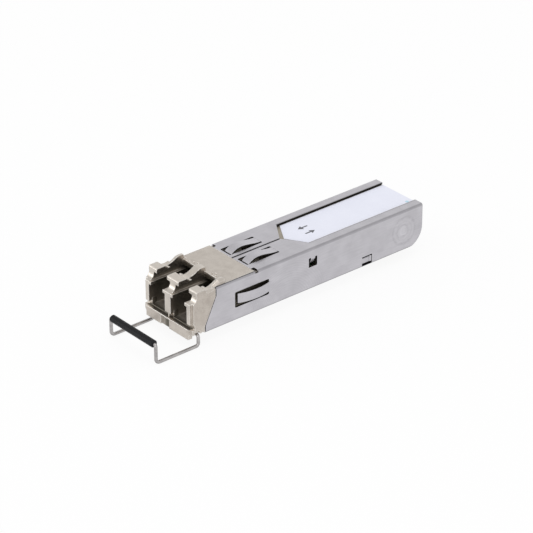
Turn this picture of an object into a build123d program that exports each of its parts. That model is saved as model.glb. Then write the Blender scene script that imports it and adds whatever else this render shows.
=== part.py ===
from build123d import *
from math import cos, radians, sin
import os

# Pluggable duplex fibre transceiver, millimetres.
# X is the width, Y the length with 0 at the rear (host) end and the fibre ports
# towards -Y, and Z is the height above the underside of the folded shell.

# Folded shell
shell_width = 13.4
shell_height = 8.5
shell_front = 52.85            # front edge of the bottom and of the low part of the sides
shell_side_front = 50.3        # front edge of the sides above the slanted run
shell_slant_low = 1.5
shell_slant_high = shell_height - 1.7
sheet = 0.3
bend_radius = 0.5
relief_length = 0.75
relief_width = 1.35
seam_width = 0.25
window_tip = 29.75             # point of the label window
window_shoulder = 26.65
window_flange = 2.1            # top flange left on each side of the window
window_half_width = shell_width / 2 - window_flange
bottom_open = 10.4             # the underside is open behind this
rear_corner_radius = 4.0
latch_slot_width = 4.4

# Spring fingers cut in the shell
finger_width = 1.95
finger_slot = 0.475
finger_slot_length = 7.7
finger_tip_gap = 0.7           # from a finger's tip to the front end of its opening
finger_rise = 0.5
finger_crest = 1.75            # from a finger's tip back to its highest place
finger_dip = 0.35
bottom_finger_slot_front = 40.75
top_finger_x = 2.45
bottom_finger_x = 3.9
bottom_finger_rise = 0.3
side_finger_root = 38.0
side_finger_slot_front = 46.0
side_finger_z = 4.28
side_finger_rise = 0.55
side_finger_tip_gap = 0.8
side_finger_dip = 0.2
side_finger_slot = 0.6
slot_end_radius = 0.23
finger_pocket = 0.45           # depth of the recesses in the nose under the finger tips
side_pocket = 0.3

# Lock window with its bent tab, and the bridge lance, in each side of the shell
lock_y = 27.4
lock_length = 2.0
lock_low = 4.7
lock_high = 6.6
tab_width = 1.0
tab_drop = 1.35
tab_push = 0.5
lance_rear = 12.75
lance_front = 15.2
lance_low = 0.6
lance_high = 1.8
lance_slit = 0.4
lance_push = 0.35

# Die-cast nose
nose_overhang = 0.15           # how far the nose stands proud of the shell on each side
nose_width = shell_width + 2 * nose_overhang
body_clearance = 0.03          # between the castings and the shell's inner faces
body_width = shell_width - 2 * (sheet + body_clearance)
outer_wall = 1.4
centre_wall = 1.6
port_width = (nose_width - 2 * outer_wall - centre_wall) / 2
port_pitch = port_width + centre_wall
port_floor = 1.75
port_depth_y = 46.0
port_back_wall = 1.5
ceiling = shell_height - 1.1
rail_high = ceiling - 0.65
rail_low = rail_high - 0.6
rail_gap = 3.45
plate_top = shell_height
plate_front = 48.2
plate_under_flap = 0.35
wall_front = 55.7
flange_front = 56.2
flange_foot = 2.6
flange_setback = 0.75
head_bottom = 0.35
head_gap = 0.3                 # gap between the head and the shell's front edge
wall_undercut_top = 1.45
ear_front = 54.95
ear_rear = 52.65
ear_gap = 3.0
ear_low = shell_height - 0.3
ear_top = shell_height + 0.58
ear_chamfer = 0.4
dip_low = shell_height + 0.03
dip_y = 51.75
peak_top = shell_height + 0.97
peak_y = 48.6
peak_rear = 47.9
rim_chamfer = 0.42
lip_front = 56.4
lip_thickness = 0.9
lip_low = -0.4
lip_top = 1.65
lip_corner = 1.0
lip_plan_chamfer = 0.9
lip_recess_width = 2.4
lip_recess_depth = 0.3
lip_recess_shift = -0.6        # middle of the recess from the middle of the lip
lip_rim = 0.25                 # left above the recess
shoulder_y = 52.2
shoulder_reach = 0.85
shoulder_height = 0.75
shoulder_thickness = 0.4
pad_length = 1.0               # raised pads low at the mouth of each port
pad_height = 1.25
pad_rise = 0.05
stop_radius = 0.3              # small round stops above the bail's shoulders

# Bail and its hinge
wire_diameter = 0.66
hinge_y = 54.45
hinge_z = 0.15
hinge_clearance = 0.05
leg_inset = 0.35               # from the nose's side faces to the middle of the legs
leg_x = nose_width / 2 - leg_inset
leg_drop = 2.15                # hinge axis to the lower run of a leg
bail_reach = 9.65              # hinge axis to the grip, along Y
grip_rise = 1.55               # hinge axis up to the grip axis
wire_bend = 0.8
bend_steps = 3                 # corners that round each right-angled bend of the wire
crank_offset = 0.3
crank_half_width = 2.2
sleeve_diameter = 1.41
sleeve_inset = 0.4             # from the middle of each leg to the sleeve's end
sleeve_length = 2 * (leg_x - sleeve_inset)
sleeve_fit = 0.02
sleeve_edge = 0.14
grip_bend = 0.45
saddle_x = leg_x - 2.4
saddle_width = 1.5
saddle_mouth = 0.5

# Latch lever under the nose
lever_pivot_y = 50.5
lever_pivot_z = 0.78
lever_pin_diameter = 0.6
lever_pin_length = 6.2
lever_eye_radius = 0.55
lever_width = 3.4
lever_thickness = 0.4
lever_rear_step = 0.3          # how much lower the lever runs behind its pivot
lever_tip = 0.6                # arm past the hinge axis
lever_arm_gap = 0.12           # rest gap between the crank and the lever's arm
boss_front = 45.0
boss_length = 2.6
boss_width = 2.6
boss_drop = 0.45               # how far the boss stands below the shell when it holds
pivot_clearance = 0.04
lever_side_gap = 0.25
spring_strip = 0.1
spring_length = 2.6
spring_bow = 0.22
cavity_ceiling = 1.4
cavity_rear_ceiling = 1.95
cavity_step_y = boss_front + 1.0
latch_slot_rear = boss_front - 3.4

# Optical subassemblies: the barrels reach through the back wall of the ports
ferrule_bore = 1.252
sleeve_wall = 0.34
barrel_reach = 4.6             # front of a barrel past the back wall's face
barrel_tip = port_depth_y + barrel_reach
barrel_nose_diameter = 2.9
barrel_flange_front = port_depth_y - port_back_wall
barrel_flange_length = 0.9
barrel_tail = 4.3              # barrel behind the front face of its flange
barrel_rear = barrel_flange_front - barrel_tail
can_length = 2.1
can_header_length = 1.1
bay_floor = 1.5
bay_headroom = 0.65            # above the barrels' flanges
seat_clearance = 0.05
barrel_flange_diameter = ceiling - bay_floor - bay_headroom - seat_clearance
barrel_neck_diameter = barrel_flange_diameter - 1.2
can_diameter = barrel_flange_diameter - 0.7
can_header_diameter = barrel_flange_diameter
axis_z = bay_floor + seat_clearance + barrel_flange_diameter / 2
bay_width = port_pitch + can_header_diameter + 2 * seat_clearance
bay_underside = 0.9
clamp_setback = 1.6            # middle of the clamp behind the front face of the flange
clamp_y = barrel_flange_front - clamp_setback
clamp_length = 1.3
clamp_split = 0.03
clamp_bottom = 2.0
flex_width = 3.6
flex_thickness = 0.12
flex_gap = 0.04
flex_landing = 3.2
flex_bend = 0.5
sleeve_seat = 0.4              # rear end of the split sleeve behind the back wall's face
sleeve_rear = port_depth_y - sleeve_seat
sleeve_slit = 0.3
plate_rear = barrel_rear - 3.6

# Front edge of the shell's two top flaps, over the rear of the nose
flap_overlap = 4.6
flap_front = plate_rear + flap_overlap
finger_slot_front = flap_front - 0.45
finger_root = finger_slot_front - finger_slot_length
finger_tip = finger_slot_front - finger_tip_gap

# Circuit board
board_bottom = 2.25
board_thickness = 1.0
board_rear = 3.2
board_front = plate_rear - 0.3
tongue_width = 9.2
tongue_length = 9.0
tongue_chamfer = 0.4
contact_count = 10
contact_pitch = 0.8
contact_width = 0.6
contact_length = 3.2
contact_thickness = 0.05
contact_setback = 0.5
board_clearance = 0.04

# Rear frame, label and board support
frame_front = board_front
flap_gap = 0.15                # between the frame's roof and the shell's flaps
frame_top = shell_height - sheet - flap_gap
frame_roof = 0.75
frame_rear = 0.05
rail_reach = 0.5
rail_height = 0.7
support_cells = 4
skirt = 0.6
board_gap = 0.12               # between the board's long edges and the frame's skirts
board_width = body_width - 2 * (skirt + board_gap)
shoulder_above_board = 2.0
shoulder_block_length = 5.0
label_margin = 0.2             # between the label and the sides of the window
label_half_width = window_half_width - label_margin
label_shoulder = window_shoulder - 0.65
label_tip = window_tip - 1.05
label_rear = 0.1
label_thickness = 0.1
support_rib = 0.8

# Parts on the board
chip_edge = 0.08
driver_spacing = 5.5           # from the landing of the flexible circuits
amplifier_stagger = 0.6
controller_spacing = 8.2
controller_x = 0.6
memory_spacing = 4.8
memory_inset = 2.05            # from the board's left edge
component_length = 1.0
component_width = 0.5
component_height = 0.5
component_pitch = 1.5
component_margin = 0.75        # from the board's long edges to the middle of a column
component_gap = 0.1
component_offset = 0.3
bank_x = 1.4

os.makedirs("parts", exist_ok=True)

half_shell = shell_width / 2
half_nose = nose_width / 2
half_body = body_width / 2
half_pitch = port_pitch / 2
inner_top = shell_height - sheet
board_top = board_bottom + board_thickness
beyond = 2.0                   # how far a cutting shape runs past what it cuts


def bowed_strip(places, shift):
    """Face of a strip bent through the given places; shift goes from its first face to the other."""
    other = [(x + shift[0], y + shift[1]) for x, y in places]
    with BuildSketch() as strip:
        with BuildLine():
            Spline(*places)
            Line(places[-1], other[-1])
            Spline(*reversed(other))
            Line(other[0], places[0])
        make_face()
    return strip.sketch


def bend_corners(before, corner, after, radius, steps):
    """Corners that take a wire round one bend in equal turns, on the outside of its arc."""
    incoming = (Vector(before) - Vector(corner)).normalized()
    outgoing = (Vector(after) - Vector(corner)).normalized()
    outward = -(incoming + outgoing).normalized()
    along = (outgoing - incoming).normalized()
    turn = 180 - incoming.get_angle(outgoing)
    centre = Vector(corner) - outward * (radius / cos(radians(turn / 2)))
    reach = radius / cos(radians(turn / (2 * steps)))
    angles = [radians(turn * ((step + 0.5) / steps - 0.5)) for step in range(steps)]
    return [centre + outward * (reach * cos(angle)) + along * (reach * sin(angle)) for angle in angles]


# Shell: one stainless sheet folded round the module, with its cuts and spring fingers
with BuildPart() as shell:
    with BuildSketch(Plane.XZ) as fold_section:
        with Locations((0, shell_height / 2)):
            RectangleRounded(shell_width, shell_height, bend_radius)
            RectangleRounded(
                shell_width - 2 * sheet, shell_height - 2 * sheet, bend_radius - sheet, mode=Mode.SUBTRACT
            )
    extrude(amount=shell_front)

    # Slanted front edge of both sides
    with BuildSketch(Plane.YZ) as side_front_cut:
        Polygon(
            (-shell_front, shell_slant_low),
            (-shell_side_front, shell_slant_high),
            (-shell_side_front, shell_height + beyond),
            (-shell_front - beyond, shell_height + beyond),
            (-shell_front - beyond, shell_slant_low),
            align=None,
        )
    extrude(amount=shell_width, both=True, mode=Mode.SUBTRACT)

    # Rounded lower rear corner of both sides
    with BuildSketch(Plane.YZ) as rear_corner_cut:
        with Locations((-rear_corner_radius, 0)):
            Rectangle(2 * rear_corner_radius, rear_corner_radius, align=(Align.MIN, Align.MIN))
        with Locations((-rear_corner_radius, rear_corner_radius)):
            Circle(rear_corner_radius, mode=Mode.SUBTRACT)
    extrude(amount=shell_width, both=True, mode=Mode.SUBTRACT)

    # Top: no flaps at the front, corner reliefs, the seam and the label window
    with BuildSketch(Plane.XY.offset(inner_top - bend_radius + sheet)) as top_cut:
        with Locations((0, -flap_front)):
            Rectangle(shell_width - 2 * sheet, shell_front, align=(Align.CENTER, Align.MAX))
        relief_inner = half_shell - relief_width
        for side in (-1, 1):
            with Locations((side * (relief_inner + relief_width / 2 + sheet), -flap_front + relief_length)):
                Rectangle(relief_width + 2 * sheet, relief_length, align=(Align.CENTER, Align.MAX))
        with Locations((0, -flap_front)):
            Rectangle(seam_width, flap_front - window_tip + seam_width, align=(Align.CENTER, Align.MIN))
        Polygon(
            (0, -window_tip),
            (window_half_width, -window_shoulder),
            (window_half_width, beyond),
            (-window_half_width, beyond),
            (-window_half_width, -window_shoulder),
            align=None,
        )
    extrude(amount=beyond, mode=Mode.SUBTRACT)

    # Bottom: open at the rear, and slotted at the front for the latch
    with BuildSketch(Plane.XY.offset(bend_radius)) as bottom_cut:
        with Locations((0, -bottom_open)):
            Rectangle(shell_width - 2 * sheet, bottom_open + beyond, align=(Align.CENTER, Align.MIN))
        with Locations((0, -latch_slot_rear)):
            Rectangle(latch_slot_width, shell_front, align=(Align.CENTER, Align.MAX))
    extrude(amount=-beyond, mode=Mode.SUBTRACT)

    # Openings round the top and bottom spring fingers
    finger_opening_width = finger_width + 2 * finger_slot
    top_opening_y = -(finger_slot_front + finger_root) / 2
    bottom_opening_y = -bottom_finger_slot_front + finger_slot_length / 2
    with BuildSketch(Plane.XY.offset(inner_top - sheet)) as top_finger_cut:
        with Locations((-top_finger_x, top_opening_y), (top_finger_x, top_opening_y)):
            RectangleRounded(finger_opening_width, finger_slot_length, slot_end_radius)
    extrude(amount=beyond, mode=Mode.SUBTRACT)
    with BuildSketch(Plane.XY.offset(2 * sheet)) as bottom_finger_cut:
        with Locations((-bottom_finger_x, bottom_opening_y), (bottom_finger_x, bottom_opening_y)):
            RectangleRounded(finger_opening_width, finger_slot_length, slot_end_radius)
    extrude(amount=-beyond, mode=Mode.SUBTRACT)

    # Side openings: spring finger, lock window and bridge lance
    side_opening_width = finger_width + 2 * side_finger_slot
    side_opening_length = side_finger_slot_front - side_finger_root
    with BuildSketch(Plane.YZ) as side_openings:
        with Locations((-(side_finger_slot_front + side_finger_root) / 2, side_finger_z)):
            RectangleRounded(side_opening_length, side_opening_width, slot_end_radius)
        with Locations((-lock_y, (lock_low + lock_high) / 2)):
            Rectangle(lock_length, lock_high - lock_low)
        with Locations((-(lance_front + lance_rear) / 2, (lance_low + lance_high) / 2)):
            Rectangle(lance_front - lance_rear, lance_high - lance_low + 2 * lance_slit)
    extrude(amount=shell_width, both=True, mode=Mode.SUBTRACT)

    # Bowed spring fingers, rooted at the rear of their openings: a long rise, then a short drop
    top_root_y = -finger_root + slot_end_radius
    top_crest_y = -finger_tip + finger_crest
    for x in (-top_finger_x, top_finger_x):
        with BuildSketch(Plane.YZ.offset(x)) as top_finger:
            add(bowed_strip(
                (
                    (top_root_y, shell_height),
                    ((top_root_y + top_crest_y) / 2, shell_height + finger_rise * 0.6),
                    (top_crest_y, shell_height + finger_rise),
                    (-finger_tip, shell_height - finger_dip),
                ),
                (0, -sheet),
            ))
        extrude(amount=finger_width / 2, both=True)
    bottom_root_y = -bottom_finger_slot_front + finger_slot_length + slot_end_radius
    bottom_tip_y = -bottom_finger_slot_front + finger_tip_gap
    for x in (-bottom_finger_x, bottom_finger_x):
        with BuildSketch(Plane.YZ.offset(x)) as bottom_finger:
            add(bowed_strip(
                (
                    (bottom_root_y, 0),
                    ((bottom_root_y + bottom_tip_y) / 2, -bottom_finger_rise),
                    (bottom_tip_y, finger_dip),
                ),
                (0, sheet),
            ))
        extrude(amount=finger_width / 2, both=True)
    side_root_y = -side_finger_root + slot_end_radius
    side_tip_y = -side_finger_slot_front + side_finger_tip_gap
    with BuildSketch(Plane.XY.offset(side_finger_z)) as side_fingers:
        add(bowed_strip(
            (
                (half_shell, side_root_y),
                (half_shell + side_finger_rise, (side_root_y + side_tip_y) / 2),
                (half_shell - side_finger_dip, side_tip_y),
            ),
            (-sheet, 0),
        ))
        mirror(about=Plane.YZ)
    extrude(amount=finger_width / 2, both=True)

    # Tab pushed inwards from the top of each lock window
    with BuildSketch(Plane.XZ.offset(lock_y)) as lock_tabs:
        Polygon(
            (half_shell, lock_high + sheet),
            (half_shell - sheet, lock_high + sheet),
            (half_shell - sheet - tab_push, lock_high - tab_drop),
            (half_shell - tab_push, lock_high - tab_drop),
            (half_shell, lock_high - sheet),
            align=None,
        )
        mirror(about=Plane.YZ)
    extrude(amount=tab_width / 2, both=True)

    # Bridge of each lance, pressed inwards between its two slits
    with BuildSketch(Plane.XY.offset(lance_low)) as lance_bridges:
        Polygon(
            (half_shell, -lance_front - sheet),
            (half_shell - lance_push, -lance_front + lance_push),
            (half_shell - lance_push, -lance_rear - lance_push),
            (half_shell, -lance_rear + sheet),
            (half_shell - sheet, -lance_rear + sheet),
            (half_shell - sheet - lance_push, -lance_rear - lance_push),
            (half_shell - sheet - lance_push, -lance_front + lance_push),
            (half_shell - sheet, -lance_front - sheet),
            align=None,
        )
        mirror(about=Plane.YZ)
    extrude(amount=lance_high - lance_low)
shell.part.label = "shell"
export_step(shell.part, "parts/shell.step")


# Nose: zinc casting with two plug ports, ears, latch cavity and bail saddles
with BuildPart() as nose_housing:
    # Head as wide as the module's face, ending along the shell's slanted edge
    with BuildSketch(Plane.YZ) as head_side:
        Polygon(
            (-shell_front - head_gap, head_bottom),
            (-shell_front - head_gap, shell_slant_low),
            (-shell_side_front - head_gap, shell_slant_high),
            (-shell_side_front - head_gap, ear_top),
            (-wall_front, ear_top),
            (-wall_front, wall_undercut_top),
            (-hinge_y + 0.15, hinge_z + 0.9),
            (-shell_front - 0.95, head_bottom + 0.3),
            (-shell_front - 0.35, head_bottom + 0.08),
            align=None,
        )
    extrude(amount=half_nose, both=True)

    # Body inside the shell, running back under the flaps to hold the optics
    with BuildSketch(Plane.YZ) as body_side:
        Polygon(
            (-flange_front, port_floor - 0.4),
            (-hinge_y - 0.6, sheet + 0.1),
            (-boss_front + boss_length + 0.6, sheet + 0.1),
            (-boss_front + boss_length + 0.6, bay_underside),
            (-plate_rear, bay_underside),
            (-plate_rear, plate_top - plate_under_flap),
            (-flap_front, plate_top - plate_under_flap),
            (-flap_front, peak_top),
            (-flange_front, peak_top),
            align=None,
        )
    extrude(amount=half_body, both=True)

    # Everything above the rim of the walls is air: step, throat, ears, dip, peak and plate
    with BuildSketch(Plane.YZ) as rim_cut:
        with BuildLine():
            Polyline(
                (-lip_front - beyond, rail_high),
                (-flange_front + 0.2, rail_high),
            )
            ThreePointArc(
                (-flange_front + 0.2, rail_high),
                (-ear_front - 0.12, (rail_high + ear_low) / 2 - 0.05),
                (-ear_front, ear_low),
            )
            Polyline(
                (-ear_front, ear_low),
                (-ear_front, ear_top - 0.2),
                (-ear_front + 0.2, ear_top),
                (-ear_rear - ear_chamfer, ear_top),
                (-ear_rear, ear_top - ear_chamfer),
                (-ear_rear, dip_low + 0.12),
            )
            Spline(
                (-ear_rear, dip_low + 0.12),
                (-dip_y, dip_low),
                (-peak_y - 1.4, (dip_low + peak_top) / 2 + 0.12),
                (-peak_y, peak_top),
                tangents=[(1, -0.25), (1, 0)],
            )
            Polyline(
                (-peak_y, peak_top),
                (-peak_rear - 0.2, peak_top - 0.05),
                (-peak_rear, plate_top),
                (-flap_front + beyond, plate_top),
                (-flap_front + beyond, ear_top + beyond),
                (-lip_front - beyond, ear_top + beyond),
                (-lip_front - beyond, rail_high),
            )
        make_face()
    extrude(amount=nose_width, both=True, mode=Mode.SUBTRACT)

    # Outer edges of the rim chamfered behind the ears
    rim_edges = nose_housing.edges().filter_by(
        lambda edge: abs(edge.center().X) > half_body - 0.01
        and -ear_rear < edge.center().Y < -peak_rear - 0.15
        and edge.center().Z > plate_top
    )
    chamfer(rim_edges, rim_chamfer)

    # Ports: the plug's body below the rails, and its latch between and above them
    port_length = lip_front - port_depth_y + beyond
    with BuildSketch(Plane.XZ.offset(lip_front + beyond)) as port_body:
        with Locations((-half_pitch, 0), (half_pitch, 0)):
            with Locations((0, port_floor)):
                Rectangle(port_width, rail_low - port_floor, align=(Align.CENTER, Align.MIN))
            with Locations((0, rail_low)):
                Rectangle(rail_gap, rail_high - rail_low, align=(Align.CENTER, Align.MIN))
            with Locations((0, rail_high)):
                Rectangle(port_width, ceiling - rail_high, align=(Align.CENTER, Align.MIN))
    extrude(amount=-port_length, mode=Mode.SUBTRACT)

    # Roofless front stretch of the ports, narrower between the ears
    with BuildSketch(Plane.XY.offset(ceiling)) as roof_cut:
        for side in (-1, 1):
            with Locations((side * half_pitch, -plate_front)):
                Rectangle(port_width, lip_front - plate_front + beyond, align=(Align.CENTER, Align.MAX))
    extrude(amount=ear_low - ceiling, mode=Mode.SUBTRACT)
    with BuildSketch(Plane.XY.offset(ear_low)) as ear_slot_cut:
        for side in (-1, 1):
            with Locations((side * half_pitch, -plate_front)):
                Rectangle(port_width, ear_rear - plate_front, align=(Align.CENTER, Align.MAX))
                Rectangle(ear_gap, lip_front - plate_front + beyond, align=(Align.CENTER, Align.MAX))
    extrude(amount=beyond, mode=Mode.SUBTRACT)

    # The peaks stand on the walls only, and the plate between them is level
    with BuildSketch(Plane.XY.offset(plate_top)) as plate_level_cut:
        for side in (-1, 1):
            with Locations((side * half_pitch, -peak_rear + beyond)):
                Rectangle(port_width, plate_front - peak_rear + beyond, align=(Align.CENTER, Align.MAX))
    extrude(amount=beyond, mode=Mode.SUBTRACT)

    # Flange feet set back above the lip, apart from a thin web on the centre wall
    with BuildSketch(Plane.YZ) as foot_cut:
        with Locations((-flange_front + flange_setback, lip_top)):
            Rectangle(beyond, flange_foot - lip_top, align=(Align.MAX, Align.MIN))
    extrude(amount=half_nose, both=True, mode=Mode.SUBTRACT)
    with BuildSketch(Plane.YZ) as centre_web:
        with Locations((-flange_front + 0.2, port_floor - 0.2)):
            Rectangle(flange_setback, flange_foot - port_floor + 0.3, align=(Align.MIN, Align.MIN))
    extrude(amount=0.15, both=True)

    # Lip under the ports, with rounded lower corners and ends that clear the bail's legs
    with BuildSketch(Plane.XZ.offset(lip_front - lip_thickness)) as lip_face:
        with Locations((0, lip_low)):
            Rectangle(nose_width, lip_top - lip_low, align=(Align.CENTER, Align.MIN))
        fillet(lip_face.vertices().group_by(Axis.Y)[0], lip_corner)
    extrude(amount=lip_thickness)
    with BuildSketch(Plane.XY.offset(lip_top + 0.01)) as lip_end_cut:
        for side in (-1, 1):
            Polygon(
                (side * (half_nose - lip_plan_chamfer), -lip_front - 0.02),
                (side * (half_nose + 0.1), -lip_front + 0.45),
                (side * (half_nose + 0.1), -lip_front - 0.02),
                align=None,
            )
    extrude(amount=-(lip_top - lip_low + beyond), mode=Mode.SUBTRACT)
    leg_passage = leg_x - wire_diameter / 2 - 2 * hinge_clearance
    with BuildSketch(Plane.XZ.offset(lip_front + beyond)) as leg_notch:
        for side in (-1, 1):
            with Locations((side * (leg_passage + half_nose / 2), hinge_z + wire_diameter / 2 + 0.12)):
                Rectangle(half_nose, beyond, align=(Align.CENTER, Align.MAX))
    extrude(amount=-(lip_front + beyond - hinge_y + wire_diameter), mode=Mode.SUBTRACT)
    with BuildSketch(Plane.XZ.offset(lip_front)) as lip_recess:
        with Locations((lip_recess_shift, lip_low)):
            Rectangle(lip_recess_width, lip_top - lip_low - lip_rim, align=(Align.CENTER, Align.MIN))
    extrude(amount=-lip_recess_depth, mode=Mode.SUBTRACT)

    # Latch cavity, open below
    cavity_half = lever_width / 2 + lever_side_gap
    with BuildSketch(Plane.YZ) as cavity_side:
        Polygon(
            (-lip_front + lip_thickness, lip_low - beyond),
            (-lip_front + lip_thickness, cavity_ceiling),
            (-cavity_step_y - 0.4, cavity_ceiling),
            (-cavity_step_y, cavity_rear_ceiling),
            (-boss_front + boss_length + 0.4, cavity_rear_ceiling),
            (-boss_front + boss_length + 0.4, lip_low - beyond),
            align=None,
        )
    extrude(amount=cavity_half, both=True, mode=Mode.SUBTRACT)

    # Room for the bail's crank as it turns from forward to upright
    crank_reach = crank_offset + wire_diameter / 2 + 2 * hinge_clearance
    with BuildSketch(Plane.YZ) as crank_pocket:
        with Locations((-hinge_y, hinge_z)):
            Circle(crank_reach)
    extrude(amount=crank_half_width + 0.9, both=True, mode=Mode.SUBTRACT)

    # Recesses under the tips of the shell's spring fingers
    with BuildSketch(Plane.XY.offset(plate_top - plate_under_flap - finger_pocket)) as top_pockets:
        with Locations((-top_finger_x, -plate_rear), (top_finger_x, -plate_rear)):
            Rectangle(
                finger_width + 2 * finger_slot,
                finger_slot_front - plate_rear,
                align=(Align.CENTER, Align.MAX),
            )
    extrude(amount=beyond, mode=Mode.SUBTRACT)
    with BuildSketch(Plane.YZ.offset(half_body - side_pocket)) as side_pockets:
        with Locations((-(side_finger_slot_front + side_finger_root) / 2, side_finger_z)):
            Rectangle(side_finger_slot_front - side_finger_root, finger_width + side_finger_slot)
    extrude(amount=beyond, mode=Mode.SUBTRACT)
    with BuildSketch(Plane.YZ.offset(-half_body + side_pocket)) as far_side_pockets:
        with Locations((-(side_finger_slot_front + side_finger_root) / 2, side_finger_z)):
            Rectangle(side_finger_slot_front - side_finger_root, finger_width + side_finger_slot)
    extrude(amount=-beyond, mode=Mode.SUBTRACT)

    # Saddles that hold the bail's hinge wire, each with a snap-in mouth below
    for side in (-1, 1):
        with BuildSketch(Plane.YZ.offset(side * saddle_x)) as saddle:
            with Locations((-hinge_y, hinge_z)):
                Circle(wire_diameter)
                Rectangle(2 * wire_diameter, port_floor - hinge_z, align=(Align.CENTER, Align.MIN))
        extrude(amount=saddle_width / 2, both=True)
    with BuildSketch(Plane.YZ) as hinge_bore:
        with Locations((-hinge_y, hinge_z)):
            Circle(wire_diameter / 2 + hinge_clearance)
            Rectangle(saddle_mouth, beyond, align=(Align.CENTER, Align.MAX))
    extrude(amount=half_nose + beyond, both=True, mode=Mode.SUBTRACT)

    # Bore for the latch pin, across the cavity walls
    with BuildSketch(Plane.YZ) as pin_bore:
        with Locations((-lever_pivot_y, lever_pivot_z)):
            Circle(lever_pin_diameter / 2 + 0.01)
    extrude(amount=lever_pin_length / 2 + 0.05, both=True, mode=Mode.SUBTRACT)

    # Gussets behind the ears that guide the plug's latch
    for side in (-1, 1):
        for wall in (-1, 1):
            wall_x = side * half_pitch + wall * port_width / 2
            with BuildSketch(Plane.XZ.offset(shoulder_y)) as gusset:
                Polygon(
                    (wall_x + wall * 0.1, dip_low - 0.06),
                    (wall_x - wall * shoulder_reach, dip_low - 0.06),
                    (wall_x, dip_low - 0.06 - shoulder_height),
                    (wall_x + wall * 0.1, dip_low - 0.06 - shoulder_height),
                    align=None,
                )
            extrude(amount=-shoulder_thickness)

    # Raised pads low at the mouth of each port, on both of its walls
    for side in (-1, 1):
        with BuildSketch(Plane.YZ.offset(side * half_pitch)) as port_pads:
            with Locations((-flange_front + flange_setback, port_floor + 0.1)):
                Rectangle(pad_length, pad_height, align=(Align.MIN, Align.MIN))
        extrude(amount=port_width / 2 + 0.1, both=True)
        with BuildSketch(Plane.YZ.offset(side * half_pitch)) as between_pads:
            with Locations((-flange_front, port_floor)):
                Rectangle(2 * beyond, beyond, align=(Align.MIN, Align.MIN))
        extrude(amount=port_width / 2 - pad_rise, both=True, mode=Mode.SUBTRACT)

    # Small round stops under the side walls, above the bail's shoulders
    for side in (-1, 1):
        with BuildSketch(Plane.YZ.offset(side * leg_x)) as round_stop:
            with Locations((-hinge_y + 0.35, hinge_z + 0.64)):
                Circle(stop_radius)
        extrude(amount=leg_inset - 0.02, both=True)

    # Seats for the two optical barrels, open below behind the port's back wall
    with BuildSketch(Plane.XZ.offset(port_depth_y + beyond)) as barrel_bores:
        with Locations((-half_pitch, axis_z), (half_pitch, axis_z)):
            Circle(barrel_nose_diameter / 2 + seat_clearance)
    extrude(amount=-(port_back_wall + 2 * beyond), mode=Mode.SUBTRACT)
    with BuildSketch(Plane.XZ.offset(barrel_flange_front)) as optics_bay:
        with Locations((0, bay_floor)):
            Rectangle(bay_width, ceiling - bay_floor, align=(Align.CENTER, Align.MIN))
    extrude(amount=-(barrel_flange_front - plate_rear + beyond), mode=Mode.SUBTRACT)

    # Upper half of the clamp round the barrel necks
    with BuildSketch(Plane.XZ.offset(clamp_y + clamp_length / 2)) as upper_clamp:
        with Locations((0, axis_z + clamp_split)):
            Rectangle(bay_width + 0.2, ceiling - axis_z, align=(Align.CENTER, Align.MIN))
        with Locations((-half_pitch, axis_z), (half_pitch, axis_z)):
            Circle(barrel_neck_diameter / 2 + seat_clearance, mode=Mode.SUBTRACT)
    extrude(amount=-clamp_length)
nose_housing.part.label = "nose_housing"
export_step(nose_housing.part, "parts/nose_housing.step")


# Bail: one spring-steel wire bent to a loop, with a small crank across the hinge line
grip_y = hinge_y + bail_reach
grip_z = hinge_z + grip_rise
leg_z = hinge_z - leg_drop
hinge_end = (crank_half_width + 0.5, -hinge_y, hinge_z)
leg_corners = (
    (leg_x, -hinge_y, hinge_z),
    (leg_x, -hinge_y, leg_z),
    (leg_x, -grip_y, leg_z),
    (leg_x, -grip_y, grip_z),
)
leg_bends = (wire_bend, wire_bend, wire_bend, grip_bend)
grip_middle = (0, -grip_y, grip_z)
befores = (hinge_end,) + leg_corners[:-1]
afters = leg_corners[1:] + (grip_middle,)
wire_points = [
    (0, -hinge_y - crank_offset, hinge_z),
    (crank_half_width, -hinge_y - crank_offset, hinge_z),
    hinge_end,
]
for before, corner, after, radius in zip(befores, leg_corners, afters, leg_bends):
    wire_points += bend_corners(before, corner, after, radius, bend_steps)
wire_points.append(grip_middle)
with BuildPart() as bail_wire:
    with BuildLine() as bail_path:
        Polyline(*wire_points)
    with BuildSketch(Plane.YZ) as wire_section:
        with Locations((-hinge_y - crank_offset, hinge_z)):
            Circle(wire_diameter / 2)
    sweep(path=bail_path.line, transition=Transition.RIGHT)
    mirror(about=Plane.YZ)
bail_wire.part.label = "bail_wire"
export_step(bail_wire.part, "parts/bail_wire.step")


# Bail sleeve: soft black tube on the grip
with BuildPart() as bail_sleeve:
    with BuildSketch(Plane.YZ) as sleeve_section:
        with Locations((-grip_y, grip_z)):
            Circle(sleeve_diameter / 2)
            Circle(wire_diameter / 2 + sleeve_fit, mode=Mode.SUBTRACT)
    extrude(amount=sleeve_length / 2, both=True)
    sleeve_ends = bail_sleeve.edges().filter_by(GeomType.CIRCLE).sort_by(SortBy.RADIUS)[-2:]
    chamfer(sleeve_ends, sleeve_edge)
bail_sleeve.part.label = "bail_sleeve"
export_step(bail_sleeve.part, "parts/bail_sleeve.step")


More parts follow.
